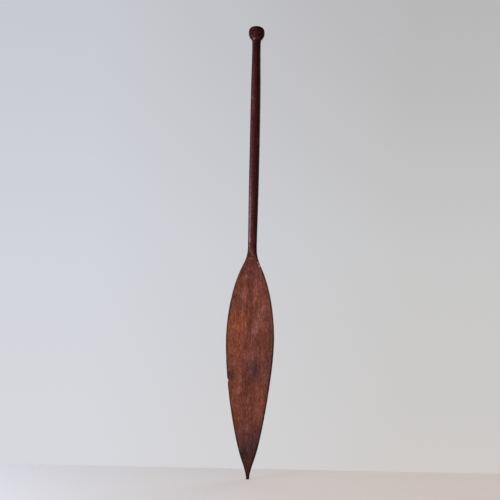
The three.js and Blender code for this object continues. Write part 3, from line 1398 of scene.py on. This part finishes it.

# Each mark is placed and toned, and lies over the ones before it. These are in the
# wood of the front, under the grain and the rim.
# Some of these are painted shade, highlights or reflections, as their comments say
FRONT_STAINS_AND_PAINTED_LIGHT: tuple[Patch, ...] = (
    # Ramp and shoulders
    # Partly knife-cut end grain, partly a painted warm reflection on the down-facing ramp
    Patch("golden ramp", -2, 737, 6, 15, Tone.OLIVE, 0.65),
    # The ramp's two flanks are darkened by painted shade
    Patch("dark left flank of the ramp", -12, 742, 4.5, 17, Tone.GARNET, 0.9),
    Patch("dark right flank of the ramp", 10, 746, 5, 17, Tone.GARNET, 0.8),
    Patch("purple shoulder", -6, 690, 22, 21, Tone.PURPLE, 0.8, soft=0.6),
    Patch("red heart of the shoulder", 2, 686, 6, 8, Tone.RUSSET, 0.8),
    Patch("tan right shoulder", 22, 683, 9, 26, Tone.TAN, 0.3, lean=-22),
    Patch("purple right of the shoulder", 12, 699, 6, 9, Tone.PURPLE, 0.6),
    Patch("dark left shoulder", -35, 670, 8, 17, Tone.BROWN, 0.6, lean=22),
    Patch("pink fleck under the shoulder", -17, 659, 5, 8, Tone.PINK, 0.7, soft=0.8),
    # The blade's broader tones, from the shoulders down
    Patch("brown shape high on the blade", -6, 637, 9, 10, Tone.BROWN, 0.65),
    Patch("pink column high on the blade", 15, 627, 7.5, 33, Tone.PINK, 0.75),
    Patch("olive left of the high blade", -42, 631, 14, 21, Tone.OLIVE, 0.6, lean=12),
    Patch("lilac streaks high right", 28, 635, 6, 20, Tone.LILAC, 0.45, soft=0.8),
    Patch("orange high right", 43, 627, 10, 17, Tone.ORANGE, 0.4, lean=-12),
    Patch("dark streak high middle", -4, 609, 5, 19, Tone.BROWN, 0.55),
    Patch("bright salmon streak", -20, 602, 6, 26, Tone.SALMON, 0.5),
    Patch("second salmon streak", -29, 605, 3.5, 15, Tone.SALMON, 0.5),
    Patch("old gash by the left edge", -56, 590, 9, 3, Tone.BLACK, 0.9, lean=8, soft=0.4),
    Patch("bruise beside the gash", -50, 585, 7, 12, Tone.BROWN, 0.75),
    Patch("reddish dark high right", 34, 588, 15, 24, Tone.PINK, 0.4),
    Patch("salmon fleck right of the middle", 13, 582, 6, 13, Tone.SALMON, 0.5),
    Patch("brown under the streak", -6, 579, 8, 11, Tone.BROWN, 0.45),
    Patch("ginger left of the smear", -54, 568, 6, 12, Tone.GINGER, 0.5),
    Patch("dark smear across the middle", -6, 558, 12, 4, Tone.BROWN, 0.85, lean=4),
    Patch("dark smear to the right", 25, 568, 15, 4, Tone.RUSSET, 0.45, lean=-6),
    Patch("grey hollow under the smear", 4, 545, 9, 12, Tone.PURPLE, 0.6),
    Patch("short dark upright stroke", -15, 541, 4, 11, Tone.BROWN, 0.75),
    # Partly a wax bloom on the wood, partly a painted sheen along a facet
    Patch("lilac bloom and painted sheen, upper end", 36, 548, 12, 24, Tone.LILAC, 0.5, lean=18, soft=1.4),
    Patch("lilac bloom and painted sheen, middle", 25, 512, 12, 28, Tone.LILAC, 0.75, lean=20, soft=1.3),
    Patch("lilac bloom and painted sheen, lower end", 10, 476, 13, 22, Tone.LILAC, 0.45, lean=22, soft=1.4),
    Patch("golden left side", -57, 497, 18, 40, Tone.GOLD, 0.45),
    Patch("orange streaks left of the middle", -29, 500, 13, 36, Tone.ORANGE, 0.6),
    Patch("brightest orange streak", -26, 493, 4, 20, Tone.SALMON, 0.5),
    Patch("brown column", -3, 499, 7.5, 33, Tone.BROWN, 0.65),
    Patch("orange island on the right", 50, 497, 12, 18, Tone.SALMON, 0.55),
    Patch("grey right edge", 69, 472, 8, 48, Tone.SLATE, 0.5),
    Patch("reddish brown below the island", 50, 468, 10, 12, Tone.RUSSET, 0.3),
    Patch("purple patch under the bloom", 23, 450, 11, 19, Tone.PURPLE, 0.65),
    Patch("tan patch under the bloom", 3, 437, 10, 17, Tone.TAN, 0.7),
    Patch("purple beside the tan", -17, 424, 9, 18, Tone.PURPLE, 0.75),
    Patch("warm brown right of the widest", 40, 415, 12, 22, Tone.TAN, 0.5),
    Patch("orange left of the widest place", -47, 428, 26, 40, Tone.ORANGE, 0.3),
    Patch("olive right of the widest place", 60, 440, 11, 24, Tone.OLIVE, 0.5),
    Patch("lilac mottling below the widest", 3, 401, 21, 22, Tone.LILAC, 0.45),
    Patch("pale pink spot by the left edge", -53, 378, 9, 10, Tone.PINK, 0.8),
    Patch("grey water stain", 18, 354, 16, 34, Tone.SLATE, 0.8, soft=1.3),
    Patch("pale grey right edge", 62, 375, 10, 27, Tone.SLATE, 0.5),
    Patch("dark bruise on the left edge", -59, 336, 14, 17, Tone.UMBER, 0.9),
    Patch("orange column low left", -36, 334, 13, 38, Tone.ORANGE, 0.45),
    Patch("purple column low middle", -11, 358, 11, 26, Tone.PURPLE, 0.6),
    Patch("dark streaks low middle", -2, 308, 11, 29, Tone.BROWN, 0.85),
    Patch("tan low right", 49, 338, 14, 30, Tone.TAN, 0.8),
    Patch("tan lip over the notch", -66, 316, 5, 8, Tone.TAN, 0.25),
    Patch("pale slanting strokes", -35, 287, 8, 13, Tone.SALMON, 0.6, lean=35),
    Patch("salmon column low right", 33, 255, 16, 60, Tone.SALMON, 0.5),
    Patch("brown left of the middle, low", -18, 284, 9, 16, Tone.BROWN, 0.45),
    Patch("pale fleck low middle", -6, 250, 4, 10, Tone.PINK, 0.5),
    Patch("rust low left", -41, 232, 12, 42, Tone.RUSSET, 0.5, lean=6),
    Patch("ginger low left", -42, 226, 8, 20, Tone.GINGER, 0.8),
    Patch("dark orange spots", 12, 227, 5.5, 11, Tone.RUSSET, 0.6),
    Patch("brown low left edge", -35, 192, 10, 22, Tone.BROWN, 0.6),
    Patch("last pale fleck", -5, 166, 7, 15, Tone.PINK, 0.35, soft=1.4),
    Patch("grey low blade", 4, 118, 26, 30, Tone.SLATE, 0.5, soft=1.4),
    Patch("brown low left", -25, 124, 14, 25, Tone.BROWN, 0.55),
    # Smaller strokes over them
    Patch("rosy stroke under the shoulder", -17, 657, 3, 5, Tone.ROSY, 0.6),
    Patch("long rosy stroke, high", -20.5, 613, 2.2, 12, Tone.ROSY, 0.3),
    Patch("rosy stroke left of the brightest", -28, 595, 2.4, 10, Tone.ROSY, 0.6),
    Patch("brightest rosy stroke", -18.7, 587, 2.4, 10, Tone.ROSY, 0.7),
    Patch("rosy stroke right of the middle", 12, 586, 3, 9, Tone.ROSY, 0.45),
    Patch("rosy stroke over the bloom", 38, 553, 2.6, 10, Tone.ROSY, 0.9),
    Patch("rosy spot by the right edge", 52, 583, 3, 6, Tone.ROSY, 0.7),
    Patch("pale stroke beside the column", -16.6, 502, 2.4, 8, Tone.ROSY, 0.5),
    Patch("golden stroke", -26, 488, 2.4, 12, Tone.TAWNY, 0.3),
    Patch("golden stroke farther left", -41, 487, 3, 16, Tone.TAWNY, 0.4),
    Patch("pale stroke under the bloom", 22, 481, 2.4, 8, Tone.ROSY, 0.9, lean=20),
    Patch("rosy stroke right of the bloom", 45, 532, 4, 12, Tone.ROSY, 0.6),
    Patch("rosy heart of the bloom", 32, 506, 5, 13, Tone.ROSY, 0.5, lean=18),
    Patch("salmon stroke below the bloom", 33, 464, 6, 12, Tone.SALMON, 0.45),
    Patch("salmon stroke left of the middle", -16, 469, 4, 12, Tone.SALMON, 0.6),
    Patch("salmon spot right of the stain", 54, 376, 6, 11, Tone.SALMON, 0.45),
    Patch("pale stroke by the widest place", -41, 401, 2.6, 8, Tone.ROSY, 0.8),
    Patch("pale stroke beside the bruise", -29, 324, 2.4, 10, Tone.ROSY, 0.6),
    Patch("pale stroke across the strokes", -36, 281, 4, 5, Tone.ROSY, 0.5),
    Patch("pink line low right", 23, 297, 2.4, 18, Tone.SALMON, 0.7),
    Patch("pale spot low on the blade", 2, 229, 2.6, 6, Tone.ROSY, 0.9),
    Patch("dark stroke high middle", -9, 632, 3, 6, Tone.BROWN, 0.5),
    Patch("red stroke in the smear", 2, 559, 3, 4, Tone.OXBLOOD, 0.5),
    Patch("dark stroke left of the tan", -18, 436, 2.6, 8, Tone.BROWN, 0.5),
    Patch("purple hollow below the tan", -1, 419, 7, 7, Tone.PURPLE, 0.7),
    Patch("black heart of the water stain", 18, 350, 5, 9, Tone.BLACK, 0.4),
    Patch("dark stroke beside the fleck", -5, 240, 3, 6, Tone.BROWN, 0.8),
    Patch("rust at the low left edge", -38, 180, 10, 22, Tone.GINGER, 0.8),
    Patch("dark left edge, high", -65, 570, 6, 15, Tone.BROWN, 0.6, lean=10),
    Patch("dark left edge, middle", -71, 533, 5, 17, Tone.BROWN, 0.5, lean=4),
    Patch("ginger left of the widest place", -56, 448, 9, 16, Tone.GINGER, 0.6),
    Patch("ginger below the widest place", -61, 397, 8, 16, Tone.GINGER, 0.6),
    Patch("ginger beside the bruise", -43, 354, 7, 13, Tone.GINGER, 0.6),
    Patch("ginger beside the gash", -41, 590, 7, 12, Tone.GINGER, 0.6),
    Patch("purple spot in the mottling", -1, 391, 5, 9, Tone.PURPLE, 0.5),
    Patch("dark edge under the notch", -56, 293, 6, 13, Tone.BROWN, 0.6, lean=-6),
    Patch("ginger stroke low on the blade", -21, 248, 5, 12, Tone.GINGER, 0.7),
    Patch("rust spot low on the left", -28, 176, 6, 14, Tone.RUSSET, 0.7),
    Patch("bright stroke low on the left", -33, 196, 2.6, 7, Tone.ROSY, 0.6),
    Patch("dark stroke low on the right", 10, 240, 3.4, 7, Tone.BROWN, 0.5),
    Patch("pale edge under the shoulder", 43, 650, 4, 10, Tone.ROSY, 0.4),
    Patch("ginger beside the notch", -56, 311, 6, 9, Tone.GINGER, 0.7),
    Patch("brown stroke low on the blade", -18, 247, 4, 9, Tone.BROWN, 0.5),
    Patch("purple spot over the stain", 2, 384, 5, 8, Tone.PURPLE, 0.6),
    Patch("ginger low on the left", -27, 203, 6, 12, Tone.GINGER, 0.6),
    Patch("brown low on the left", -34, 177, 5, 10, Tone.BROWN, 0.5),
    Patch("dark left edge, low", -50, 206, 6, 17, Tone.BROWN, 0.9, lean=-10),
    Patch("dark left edge above the tip", -42, 167, 5, 13, Tone.BROWN, 0.7, lean=-12),
    # Tip
    Patch("blue-black left of the tip", -17, 74, 10, 21, Tone.BLACK, 0.9, lean=14),
    Patch("red brown streak to the tip", 4, 60, 6, 34, Tone.BROWN, 0.4),
    # Shaft and grip
    Patch("ginger foot of the shaft", 0, 785, 10, 22, Tone.RUSSET, 0.3),
    Patch("pale strokes below the knock", -5, 1214, 5, 19, Tone.PURPLE, 0.4),
    # Painted highlight in the shallow knock on the grip
    Patch("painted highlight in the knock", -5, 1243, 6, 14, Tone.SLATE, 0.6),
    # A painted highlight: a faint pale strip that brightens the lamp's highlight on the lower
    # shaft's left
    Patch("painted highlight low on the shaft", -10, 870, 5, 85, Tone.BARE_AND_HIGHLIGHT, 0.09, soft=1.4),
    # Painted shade: dims the lamp's highlight up the grip's left side
    Patch("dark left side of the grip", -14, 1345, 4, 110, Tone.GARNET, 0.7),
    Patch("purple spot low on the shaft", -1, 825, 3.4, 8, Tone.PURPLE, 0.7),
    Patch("russet spot low on the shaft", 1, 910, 5, 30, Tone.RUSSET, 0.2),
    # Painted shade: dims the lamp's highlight on the shaft's left just above the ramp
    Patch("dark left side over the ramp", -11, 766, 4, 9, Tone.GARNET, 0.7),
    # Painted highlight at the knock's upper end
    Patch("painted highlight at the knock's upper end", -9, 1258, 4, 7, Tone.SLATE, 0.9),
    # Painted reflected light: brightens the shaft's shaded right flank
    Patch("grey spot right of the shaft", 13, 1108, 4.5, 12, Tone.SLATE, 0.9),
    Patch("red above the knock", -4, 1280, 6, 20, Tone.OXBLOOD, 0.25),
    Patch("pink strokes on the grip", -6, 1335, 4, 40, Tone.PURPLE, 0.4),
    # Knob
    Patch("red heart of the knob", -5, 1476, 7, 10, Tone.OXBLOOD, 0.2),
    # Painted shade on the knob's left
    Patch("dark left of the knob", -23, 1478, 11, 18, Tone.GARNET, 0.9),
    Patch("dark spot low on the knob", 6, 1468, 3, 3, Tone.BLACK, 0.4),
    # Painted shade on the knob's right, warmed by a painted reflection of warm light
    Patch("dark right of the knob", 20, 1476, 8, 18, Tone.GARNET, 0.85),
    Patch("painted warm reflection on the right of the knob", 19, 1474, 5, 12, Tone.RUST, 0.35),
    Patch("faint fleck under the knob", 5, 1455, 2.4, 1.8, Tone.SLATE, 0.7),
)

# These lie over everything else on the front: chips through the dark surface, and painted
# highlights and glints
FRONT_CHIPS_AND_HIGHLIGHTS: tuple[Patch, ...] = (
    # Ramp and shoulders
    Patch("upper pale spot on the ramp", -6, 743, 2.4, 3, Tone.TAN, 0.8),
    Patch("middle pale spot on the ramp", -2, 737, 2.6, 3, Tone.TAN, 0.6),
    Patch("lower pale spot on the ramp", 1.5, 731, 2.4, 2.6, Tone.ROSY, 0.6),
    Patch("rusty corner of the ramp", -8.5, 726, 5.5, 3.6, Tone.RUST, 0.8),
    Patch("red foot of the ramp", 0, 724, 17, 2.2, Tone.OXBLOOD, 0.3),
    # Painted highlight along the fold at the ramp's foot
    Patch("painted highlight under the ramp", -6, 719.4, 4.5, 1.8, Tone.ROSY, 0.6),
    Patch("end of the painted highlight under the ramp", 1.5, 718, 3.5, 2, Tone.SALMON, 0.45, lean=20),
    Patch("dark cut under the lip", 5, 713, 5.5, 2, Tone.GARNET, 0.55),
    Patch("dark red spot on the shoulder", -20, 684, 3, 3, Tone.OXBLOOD, 0.6),
    Patch("red fleck on the shoulder", -1, 682, 3, 4, Tone.RUSSET, 0.6),
    Patch("rust fleck left of the shoulder", -17, 693, 3, 4, Tone.RUSSET, 0.6),
    Patch("red fleck high on the shoulder", -8, 702, 2.4, 3, Tone.OXBLOOD, 0.45),
    Patch("red stroke on the shoulder", 6, 702, 2.4, 4, Tone.OXBLOOD, 0.35),
    Patch("pale fleck on the shoulder", -12, 686, 2.4, 3, Tone.LILAC, 0.5),
    Patch("pale fleck right of the shoulder", 9, 675, 2.4, 4, Tone.LILAC, 0.5),
    Patch("rust fleck high left", -20, 704, 2.6, 3, Tone.RUSSET, 0.5),
    # Chips in the right edge, with painted glints on them
    Patch("upper chip and painted glint on the shoulder", 20.5, 705, 2.8, 3.4, Tone.BARE_AND_HIGHLIGHT, 0.6, lean=-30),
    Patch("lower chip and painted glint on the shoulder", 26.5, 696, 4.2, 4, Tone.BARE_AND_HIGHLIGHT, 1.0, lean=-30),
    Patch("rubbed edge of the shoulder", 32, 680, 5, 8, Tone.ROSY, 0.3, lean=-24),
    # Edges rubbed pale
    Patch("rubbed edge under the shoulder", 43, 651, 5, 14, Tone.TAN, 0.4, lean=-18),
    Patch("rubbed right edge, high", 58, 600, 5, 30, Tone.LILAC, 0.4, lean=-10),
    Patch("rubbed right edge, middle", 70, 520, 5, 42, Tone.LILAC, 0.35, lean=-4),
    Patch("rubbed right edge, widest", 71, 379, 4, 16, Tone.SLATE, 0.4),
    Patch("rubbed right edge, low", 57, 266, 4, 14, Tone.TAN, 0.4, lean=7),
    # Shaft
    Patch("dark stroke in the knock", -8, 1239, 2.5, 3.5, Tone.BLACK, 0.5),
    # Painted highlight on the knock's lip
    Patch("painted highlight on the lip of the knock", -8, 1254, 3.4, 6, Tone.LILAC, 0.18),
    # Knob
    Patch("upper red spot on the knob", -7, 1473, 2, 1.8, Tone.TAN, 0.3),
    Patch("lower red spot on the knob", -7, 1467, 2, 1.8, Tone.TAN, 0.25),
    # Painted glints, broken up by the facets on the knob's left
    Patch("upper painted glint on the knob", -12, 1487, 4, 2.4, Tone.SLATE, 0.6),
    Patch("middle painted glint on the knob", -22, 1475, 3, 2.4, Tone.SLATE, 0.4),
    Patch("dark fleck left of the knob", -21, 1480, 5, 2, Tone.GARNET, 0.8),
    Patch("dark crease on the knob", -16, 1470, 6, 2, Tone.GARNET, 0.7, lean=25),
    # Painted glint
    Patch("lower painted glint on the knob", -16, 1466, 4, 2, Tone.LILAC, 0.12, lean=25),
    Patch("pale fleck on the knob", 8, 1474, 3, 3, Tone.LILAC, 0.16),
    Patch("dark spot high on the knob", 11, 1480, 4, 2.2, Tone.GARNET, 0.8),
    # Painted glint where the knob turns into its neck
    Patch("painted glint under the knob", -8, 1455, 3.1, 1.6, Tone.BARE_AND_HIGHLIGHT, 0.45),
)

# These are in the wood of the back, all of them guessed; the ramp and its lip carry painted light
# like the front's
BACK_STAINS_AND_PAINTED_LIGHT: tuple[Patch, ...] = (
    Patch("gold heart of the back", 6, 520, 26, 60, Tone.GOLD, 0.6, lean=8),
    Patch("salmon streak up the back", 24, 580, 7, 50, Tone.SALMON, 0.7),
    Patch("lilac bloom on the back", -30, 455, 15, 45, Tone.LILAC, 0.7, lean=-15),
    Patch("brown hollow on the back", -10, 610, 11, 26, Tone.BROWN, 0.6),
    Patch("grey stain on the back", 38, 390, 15, 36, Tone.SLATE, 0.8, lean=-10),
    Patch("purple shoulder, back", 3, 688, 20, 20, Tone.PURPLE, 0.7),
    # Like the front's: partly knife-cut end grain, partly a painted warm reflection
    Patch("ramp of the back", 1, 738, 7, 14, Tone.GOLD, 0.6),
    # Painted highlight along the fold at the ramp's foot, like the front's
    Patch("painted highlight at the foot of the back ramp", 2, 718, 10, 3.5, Tone.ORANGE, 0.7),
    Patch("orange column on the back", -34, 320, 12, 50, Tone.ORANGE, 0.6),
    Patch("dark streaks on the back", 2, 300, 11, 40, Tone.BROWN, 0.75),
    Patch("pink flecks on the back", 16, 255, 6, 20, Tone.PINK, 0.8),
    Patch("tan side of the back", -55, 500, 10, 40, Tone.TAN, 0.6),
    Patch("bruise on the back", 52, 480, 9, 14, Tone.UMBER, 0.8),
    Patch("gold low on the back", -22, 210, 12, 36, Tone.GOLD, 0.7),
    Patch("grey low on the back", 10, 140, 18, 30, Tone.SLATE, 0.6),
    Patch("russet side of the shaft", 4, 1010, 9, 60, Tone.OXBLOOD, 0.6),
    Patch("rubbed place on the grip", -3, 1300, 8, 45, Tone.RUSSET, 0.5),
    Patch("red heart of the knob's back", 4, 1477, 10, 10, Tone.OXBLOOD, 0.8),
)


# Studio


@dataclass(frozen=True)
class Lamp:
    """A large soft lamp, aimed at the middle of the paddle.

    Args:
        name: Lamp name.
        left: Degrees round to the left of the camera's side.
        up: Degrees above level.
        away: Metres from the paddle.
        width: Metres across.
        tall: Metres high.
        watts: Power.
        colour: Colour of its light.
        glare: Whether it mirrors in the wood. A polarised lamp doesn't, which lets the
            wood's own colour through, as when varnished or oiled carvings are recorded.
    """

    name: str
    left: float
    up: float
    away: float
    width: float
    tall: float
    watts: float
    colour: str = "#ffffff"
    glare: bool = True

    def build(self, target: Vector) -> None:
        """Hangs the lamp, looking at the target.

        Args:
            target: The place that it lights, in metres.
        """
        data = bpy.data.lights.new(self.name, "AREA")
        data.shape = "RECTANGLE"
        data.size, data.size_y = self.width, self.tall
        data.energy = self.watts
        data.color = linear(self.colour)[:3]
        lamp = placed(self.name, data)
        lamp.visible_glossy = self.glare
        left, up = math.radians(self.left), math.radians(self.up)
        away = Vector(
            (-math.sin(left) * math.cos(up), -math.cos(left) * math.cos(up), math.sin(up))
        )
        lamp.location = target + away * self.away
        lamp.rotation_euler = away.to_track_quat("Z", "Y").to_euler()


@dataclass(frozen=True)
class Viewpoint:
    """The photograph's viewpoint.

    Args:
        focal: Focal length in pixels of the photograph.
        sensor: Width of the sensor.
        distance: Metres from the paddle's middle line.
        rise: Degrees that the camera looks up.
        level: Metres up the paddle at the middle of the photograph.
        aside: Metres that the camera stands to the left.
        roll: Degrees that the paddle leans to the right.
    """

    focal: float = 907.496
    sensor: float = 36.0
    distance: float = 3.0
    rise: float = 4.0
    level: float = 0.74732
    aside: float = 0.00709
    roll: float = 1.162

    def build(self) -> None:
        """Sets up the camera."""
        data = bpy.data.cameras.new("camera")
        data.sensor_width = self.sensor
        data.lens = self.focal * self.sensor / PHOTO_PIXELS
        camera = placed("camera", data)
        rise = math.radians(self.rise)
        away, drop = self.distance * math.cos(rise), self.distance * math.sin(rise)
        camera.location = (-self.aside, -away, self.level - drop)
        aim = Euler((math.pi / 2 + rise, 0.0, 0.0)).to_matrix()
        camera.rotation_euler = (aim @ Matrix.Rotation(math.radians(self.roll), 3, "Z")).to_euler()
        bpy.context.scene.camera = camera


@dataclass(frozen=True)
class Studio:
    """A pale floor, plain soft light and a pale surround.

    Args:
        target: The place that the lamps light, in metres.
        floor_depth: Metres of floor, front to back.
        floor_width: Metres of floor from side to side.
        behind: Metres of it behind the paddle.
        floor_left: The floor's colour at its left.
        floor_right: Its colour at its right.
        glow: Share of its colour that the floor shows the camera by itself.
        left_paper: Colours up the left of the surround, at shares of the height in view.
        right_paper: Colours up its right.
        lamps: The lamps.
    """

    target: Triple = (0.0, 0.0, 0.75)
    floor_depth: float = 1.6
    floor_width: float = 3.0
    behind: float = 0.205
    floor_left: str = "#c4c5c5"
    floor_right: str = "#d2c7bd"
    glow: float = 0.3
    left_paper: tuple[tuple[float, str], ...] = (
        (0.1, "#d7d8dd"),
        (0.45, "#d2d4dc"),
        (0.77, "#caccd3"),
        (1.0, "#c4c6cd"),
    )
    right_paper: tuple[tuple[float, str], ...] = (
        (0.1, "#cecbc9"),
        (0.45, "#c8c8c8"),
        (0.77, "#bcbbbc"),
        (1.0, "#b4b3b5"),
    )
    lamps: tuple[Lamp, ...] = (
        Lamp("key", 52, -4.5, 2.6, 1.2, 1.05, 61.0, "#fffdfb", glare=False),
        Lamp("window", 79, -3, 2.4, 0.55, 1.4, 41.0, "#dcd6ff"),
        Lamp("back", -140, 30, 2.8, 1.6, 1.6, 8.0),
    )

    def build(self) -> None:
        """Builds the floor, the surround and the lamps."""
        self.build_floor()
        self.build_surround()
        for lamp in self.lamps:
            lamp.build(Vector(self.target))

    def build_floor(self) -> None:
        """Lays a smooth pale board whose far edge lies a little behind the paddle."""
        bm = bmesh.new()
        bmesh.ops.create_grid(bm, x_segments=1, y_segments=1, size=0.5)
        bmesh.ops.scale(bm, vec=(self.floor_width, self.floor_depth, 1), verts=bm.verts)
        middle = self.behind - self.floor_depth / 2
        bmesh.ops.translate(bm, vec=(0, middle, 0), verts=bm.verts)
        floor = placed("floor", finished(bm, "floor"))
        material = bpy.data.materials.new("painted_board")
        bench = Bench(material)
        here = bench.add("TexCoord", output="Object")
        x = bench.add("SeparateXYZ", {0: here}, output="X")
        across = bench.add("MapRange", {0: x, 1: -0.6, 2: 0.6})
        stops = ((0.0, self.floor_left), (1.0, self.floor_right))
        colour = bench.add("ValToRGB", {0: across}, stops=stops)
        seen = bench.add("LightPath", output="Is Camera Ray")
        glow = bench.add("Math", {0: seen, 1: self.glow}, operation="MULTIPLY")
        surface = {
            "Base Color": colour,
            "Roughness": 0.6,
            "IOR": 1.45,
            "Specular IOR Level": 0.15,
            "Emission Color": colour,
            "Emission Strength": glow,
        }
        bench.add("OutputMaterial", {"Surface": bench.add("BsdfPrincipled", surface)})
        floor.data.materials.append(material)

    def build_surround(self) -> None:
        """Surrounds the set with pale paper behind and a dimmer room in front."""
        world = bpy.data.worlds.new("surround")
        bpy.context.scene.world = world
        add = Bench(world).add
        way = add("TexCoord", output="Generated")
        aside, behind, above = (add("SeparateXYZ", {0: way}, output=axis) for axis in "XYZ")

        # What the camera sees: paper that darkens upwards and to the right, painted shade of the
        # room's light on it
        level = add("MapRange", {0: above, 1: -0.2, 2: 0.4})
        left_paper = add("ValToRGB", {0: level}, stops=self.left_paper)
        right_paper = add("ValToRGB", {0: level}, stops=self.right_paper)
        to_right = add("MapRange", {0: aside, 1: -0.17, 2: 0.17})
        paper = add("Mix", {0: to_right, 6: left_paper, 7: right_paper}, **LAID)

        # What lights the wood, and the darker room that mirrors in it
        lit = add("MapRange", {0: behind, 1: -0.3, 2: 0.7, 3: 0.4, 4: 0.6})
        mirrored = add("MapRange", {0: aside, 1: -0.5, 2: -0.95, 3: 0.04, 4: 0.3})
        glossy = add("LightPath", output="Is Glossy Ray")
        room = add("Mix", {0: glossy, 2: lit, 3: mirrored})
        seen = add("LightPath", output="Is Camera Ray")
        mixed = add("Mix", {0: seen, 6: room, 7: paper}, **LAID)
        background = add("Background", {"Color": mixed, "Strength": 1.0})
        add("OutputWorld", {"Surface": background})


# The paddle


def lengths_of_paddle() -> tuple[BladeTip, Blade, Throat, Shaft, Pommel]:
    """Sets out the carving's lengths, with what the tools left on each.

    One wood runs through them all, so grain and tone go on across every level cut. The
    comments say what the way in which each surface was made gives the eye.

    Returns:
        The five lengths, from the tip up.
    """
    tip = BladeTip(
        name="Tip_carved",
        node="blade_tip",
        slot="tip_wood",
        # Adzed to a blunt point, soaked and knocked: nearly black, matt, little figure left
        surface="adzed_weathered_hardwood",
        low=0.0,
        high=64.0,
        lower_end=End.ROUNDED,
        pitch=1.0,
        tool=ToolMarks(9.0, 26.0, 0.2, 0.3, 10.0, 11),
    )
    blade = Blade(
        name="Blade_carved",
        node="blade",
        slot="blade_wood",
        # Adzed, scraped along the grain and oiled: matt, streaked, dark where hands hold the rim
        surface="scraped_oiled_hardwood",
        low=tip.high,
        high=681.0,
        pitch=2.0,
        tool=ToolMarks(15.0, 42.0, 0.3, 0.4, 12.0, 23),
        nicks=(
            Nick(Edge.LEFT, 319.0, 17.0, 2.3),
            Nick(Edge.LEFT, 590.0, 5.0, 0.9),
            Nick(Edge.RIGHT, 205.0, 9.0, 0.8),
        ),
        gouges=(Gouge(-57.0, 590.0, 7.0, 1.6, 0.8, 82.0),),
    )
    throat = Throat(
        name="Throat_carved",
        node="throat",
        slot="throat_wood",
        # Cut down across the grain with a knife: golden ramp, partly a painted warm reflection,
        # with a pink painted highlight at its foot, flanks darkened by painted shade, dark purple
        # shoulders
        surface="knife_cut_hardwood",
        low=blade.high,
        high=771.0,
        pitch=0.9,
        tool=ToolMarks(9.0, 22.0, 0.22, 0.3, 12.0, 37),
        nicks=(Nick(Edge.RIGHT, 700.5, 4.0, 0.5), Nick(Edge.RIGHT, 693.0, 4.0, 0.3)),
        gouges=(
            Gouge(0.0, 725.5, 14.0, 2.4, 0.5),
            Gouge(0.0, 725.5, 14.0, 2.4, 0.5, side=Side.BACK),
            Gouge(6.0, 712.0, 6.0, 2.0, 0.5),
        ),
    )
    shaft = Shaft(
        name="Shaft_carved",
        node="shaft",
        slot="shaft_wood",
        # Scraped round and polished by hands: sleek, with one long cool highlight at the left,
        # brightened low down by a painted highlight and dimmed up the grip by painted shade
        surface="hand_polished_hardwood",
        low=throat.high,
        high=1423.0,
        pitch=2.2,
        tool=ToolMarks(9.0, 48.0, 0.2, 0.3, 4.0, 41),
        grooves=(Groove(1413.5, 4.0, 0.15), Groove(1333.5, 4.0, 0.12)),
        gouges=(Gouge(-3.6, 1249.0, 6.0, 15.0, 0.9, 8.0),),
    )
    pommel = Pommel(
        name="Pommel_carved",
        node="pommel",
        slot="pommel_wood",
        # Whittled in short facets and darkened by palms: dull, with painted glints on its left and
        # under it, and painted shade at its sides
        surface="whittled_hardwood",
        low=shaft.high,
        high=1500.0,
        upper_end=End.ROUNDED,
        pitch=0.8,
        tool=ToolMarks(10.5, 11.5, 0.45, 0.25, 35.0, 53),
    )
    return tip, blade, throat, shaft, pommel


def main() -> None:
    """Builds the paddle length by length, dresses it, and sets up the studio."""
    logging.basicConfig(level=logging.INFO, format="%(name)s: %(message)s")
    lengths = lengths_of_paddle()
    carving = Carving(BareForm(*lengths), lengths)
    log.info("%d tool cuts laid out", len(carving.cuts))
    wood = CarvedHardwood(lengths[-1].high, GROUND, FRONT_STAINS_AND_PAINTED_LIGHT, BACK_STAINS_AND_PAINTED_LIGHT, FRONT_CHIPS_AND_HIGHLIGHTS)
    for length in lengths:
        carved = CarvedLength(length, carving)
        piece = carved.build()
        carved.dress(piece, wood)
        log.info("%s: %d faces", piece.name, len(piece.data.polygons))
    Studio().build()
    Viewpoint().build()
    bpy.context.scene.view_settings.view_transform = "Standard"


if __name__ == "__main__":
    main()
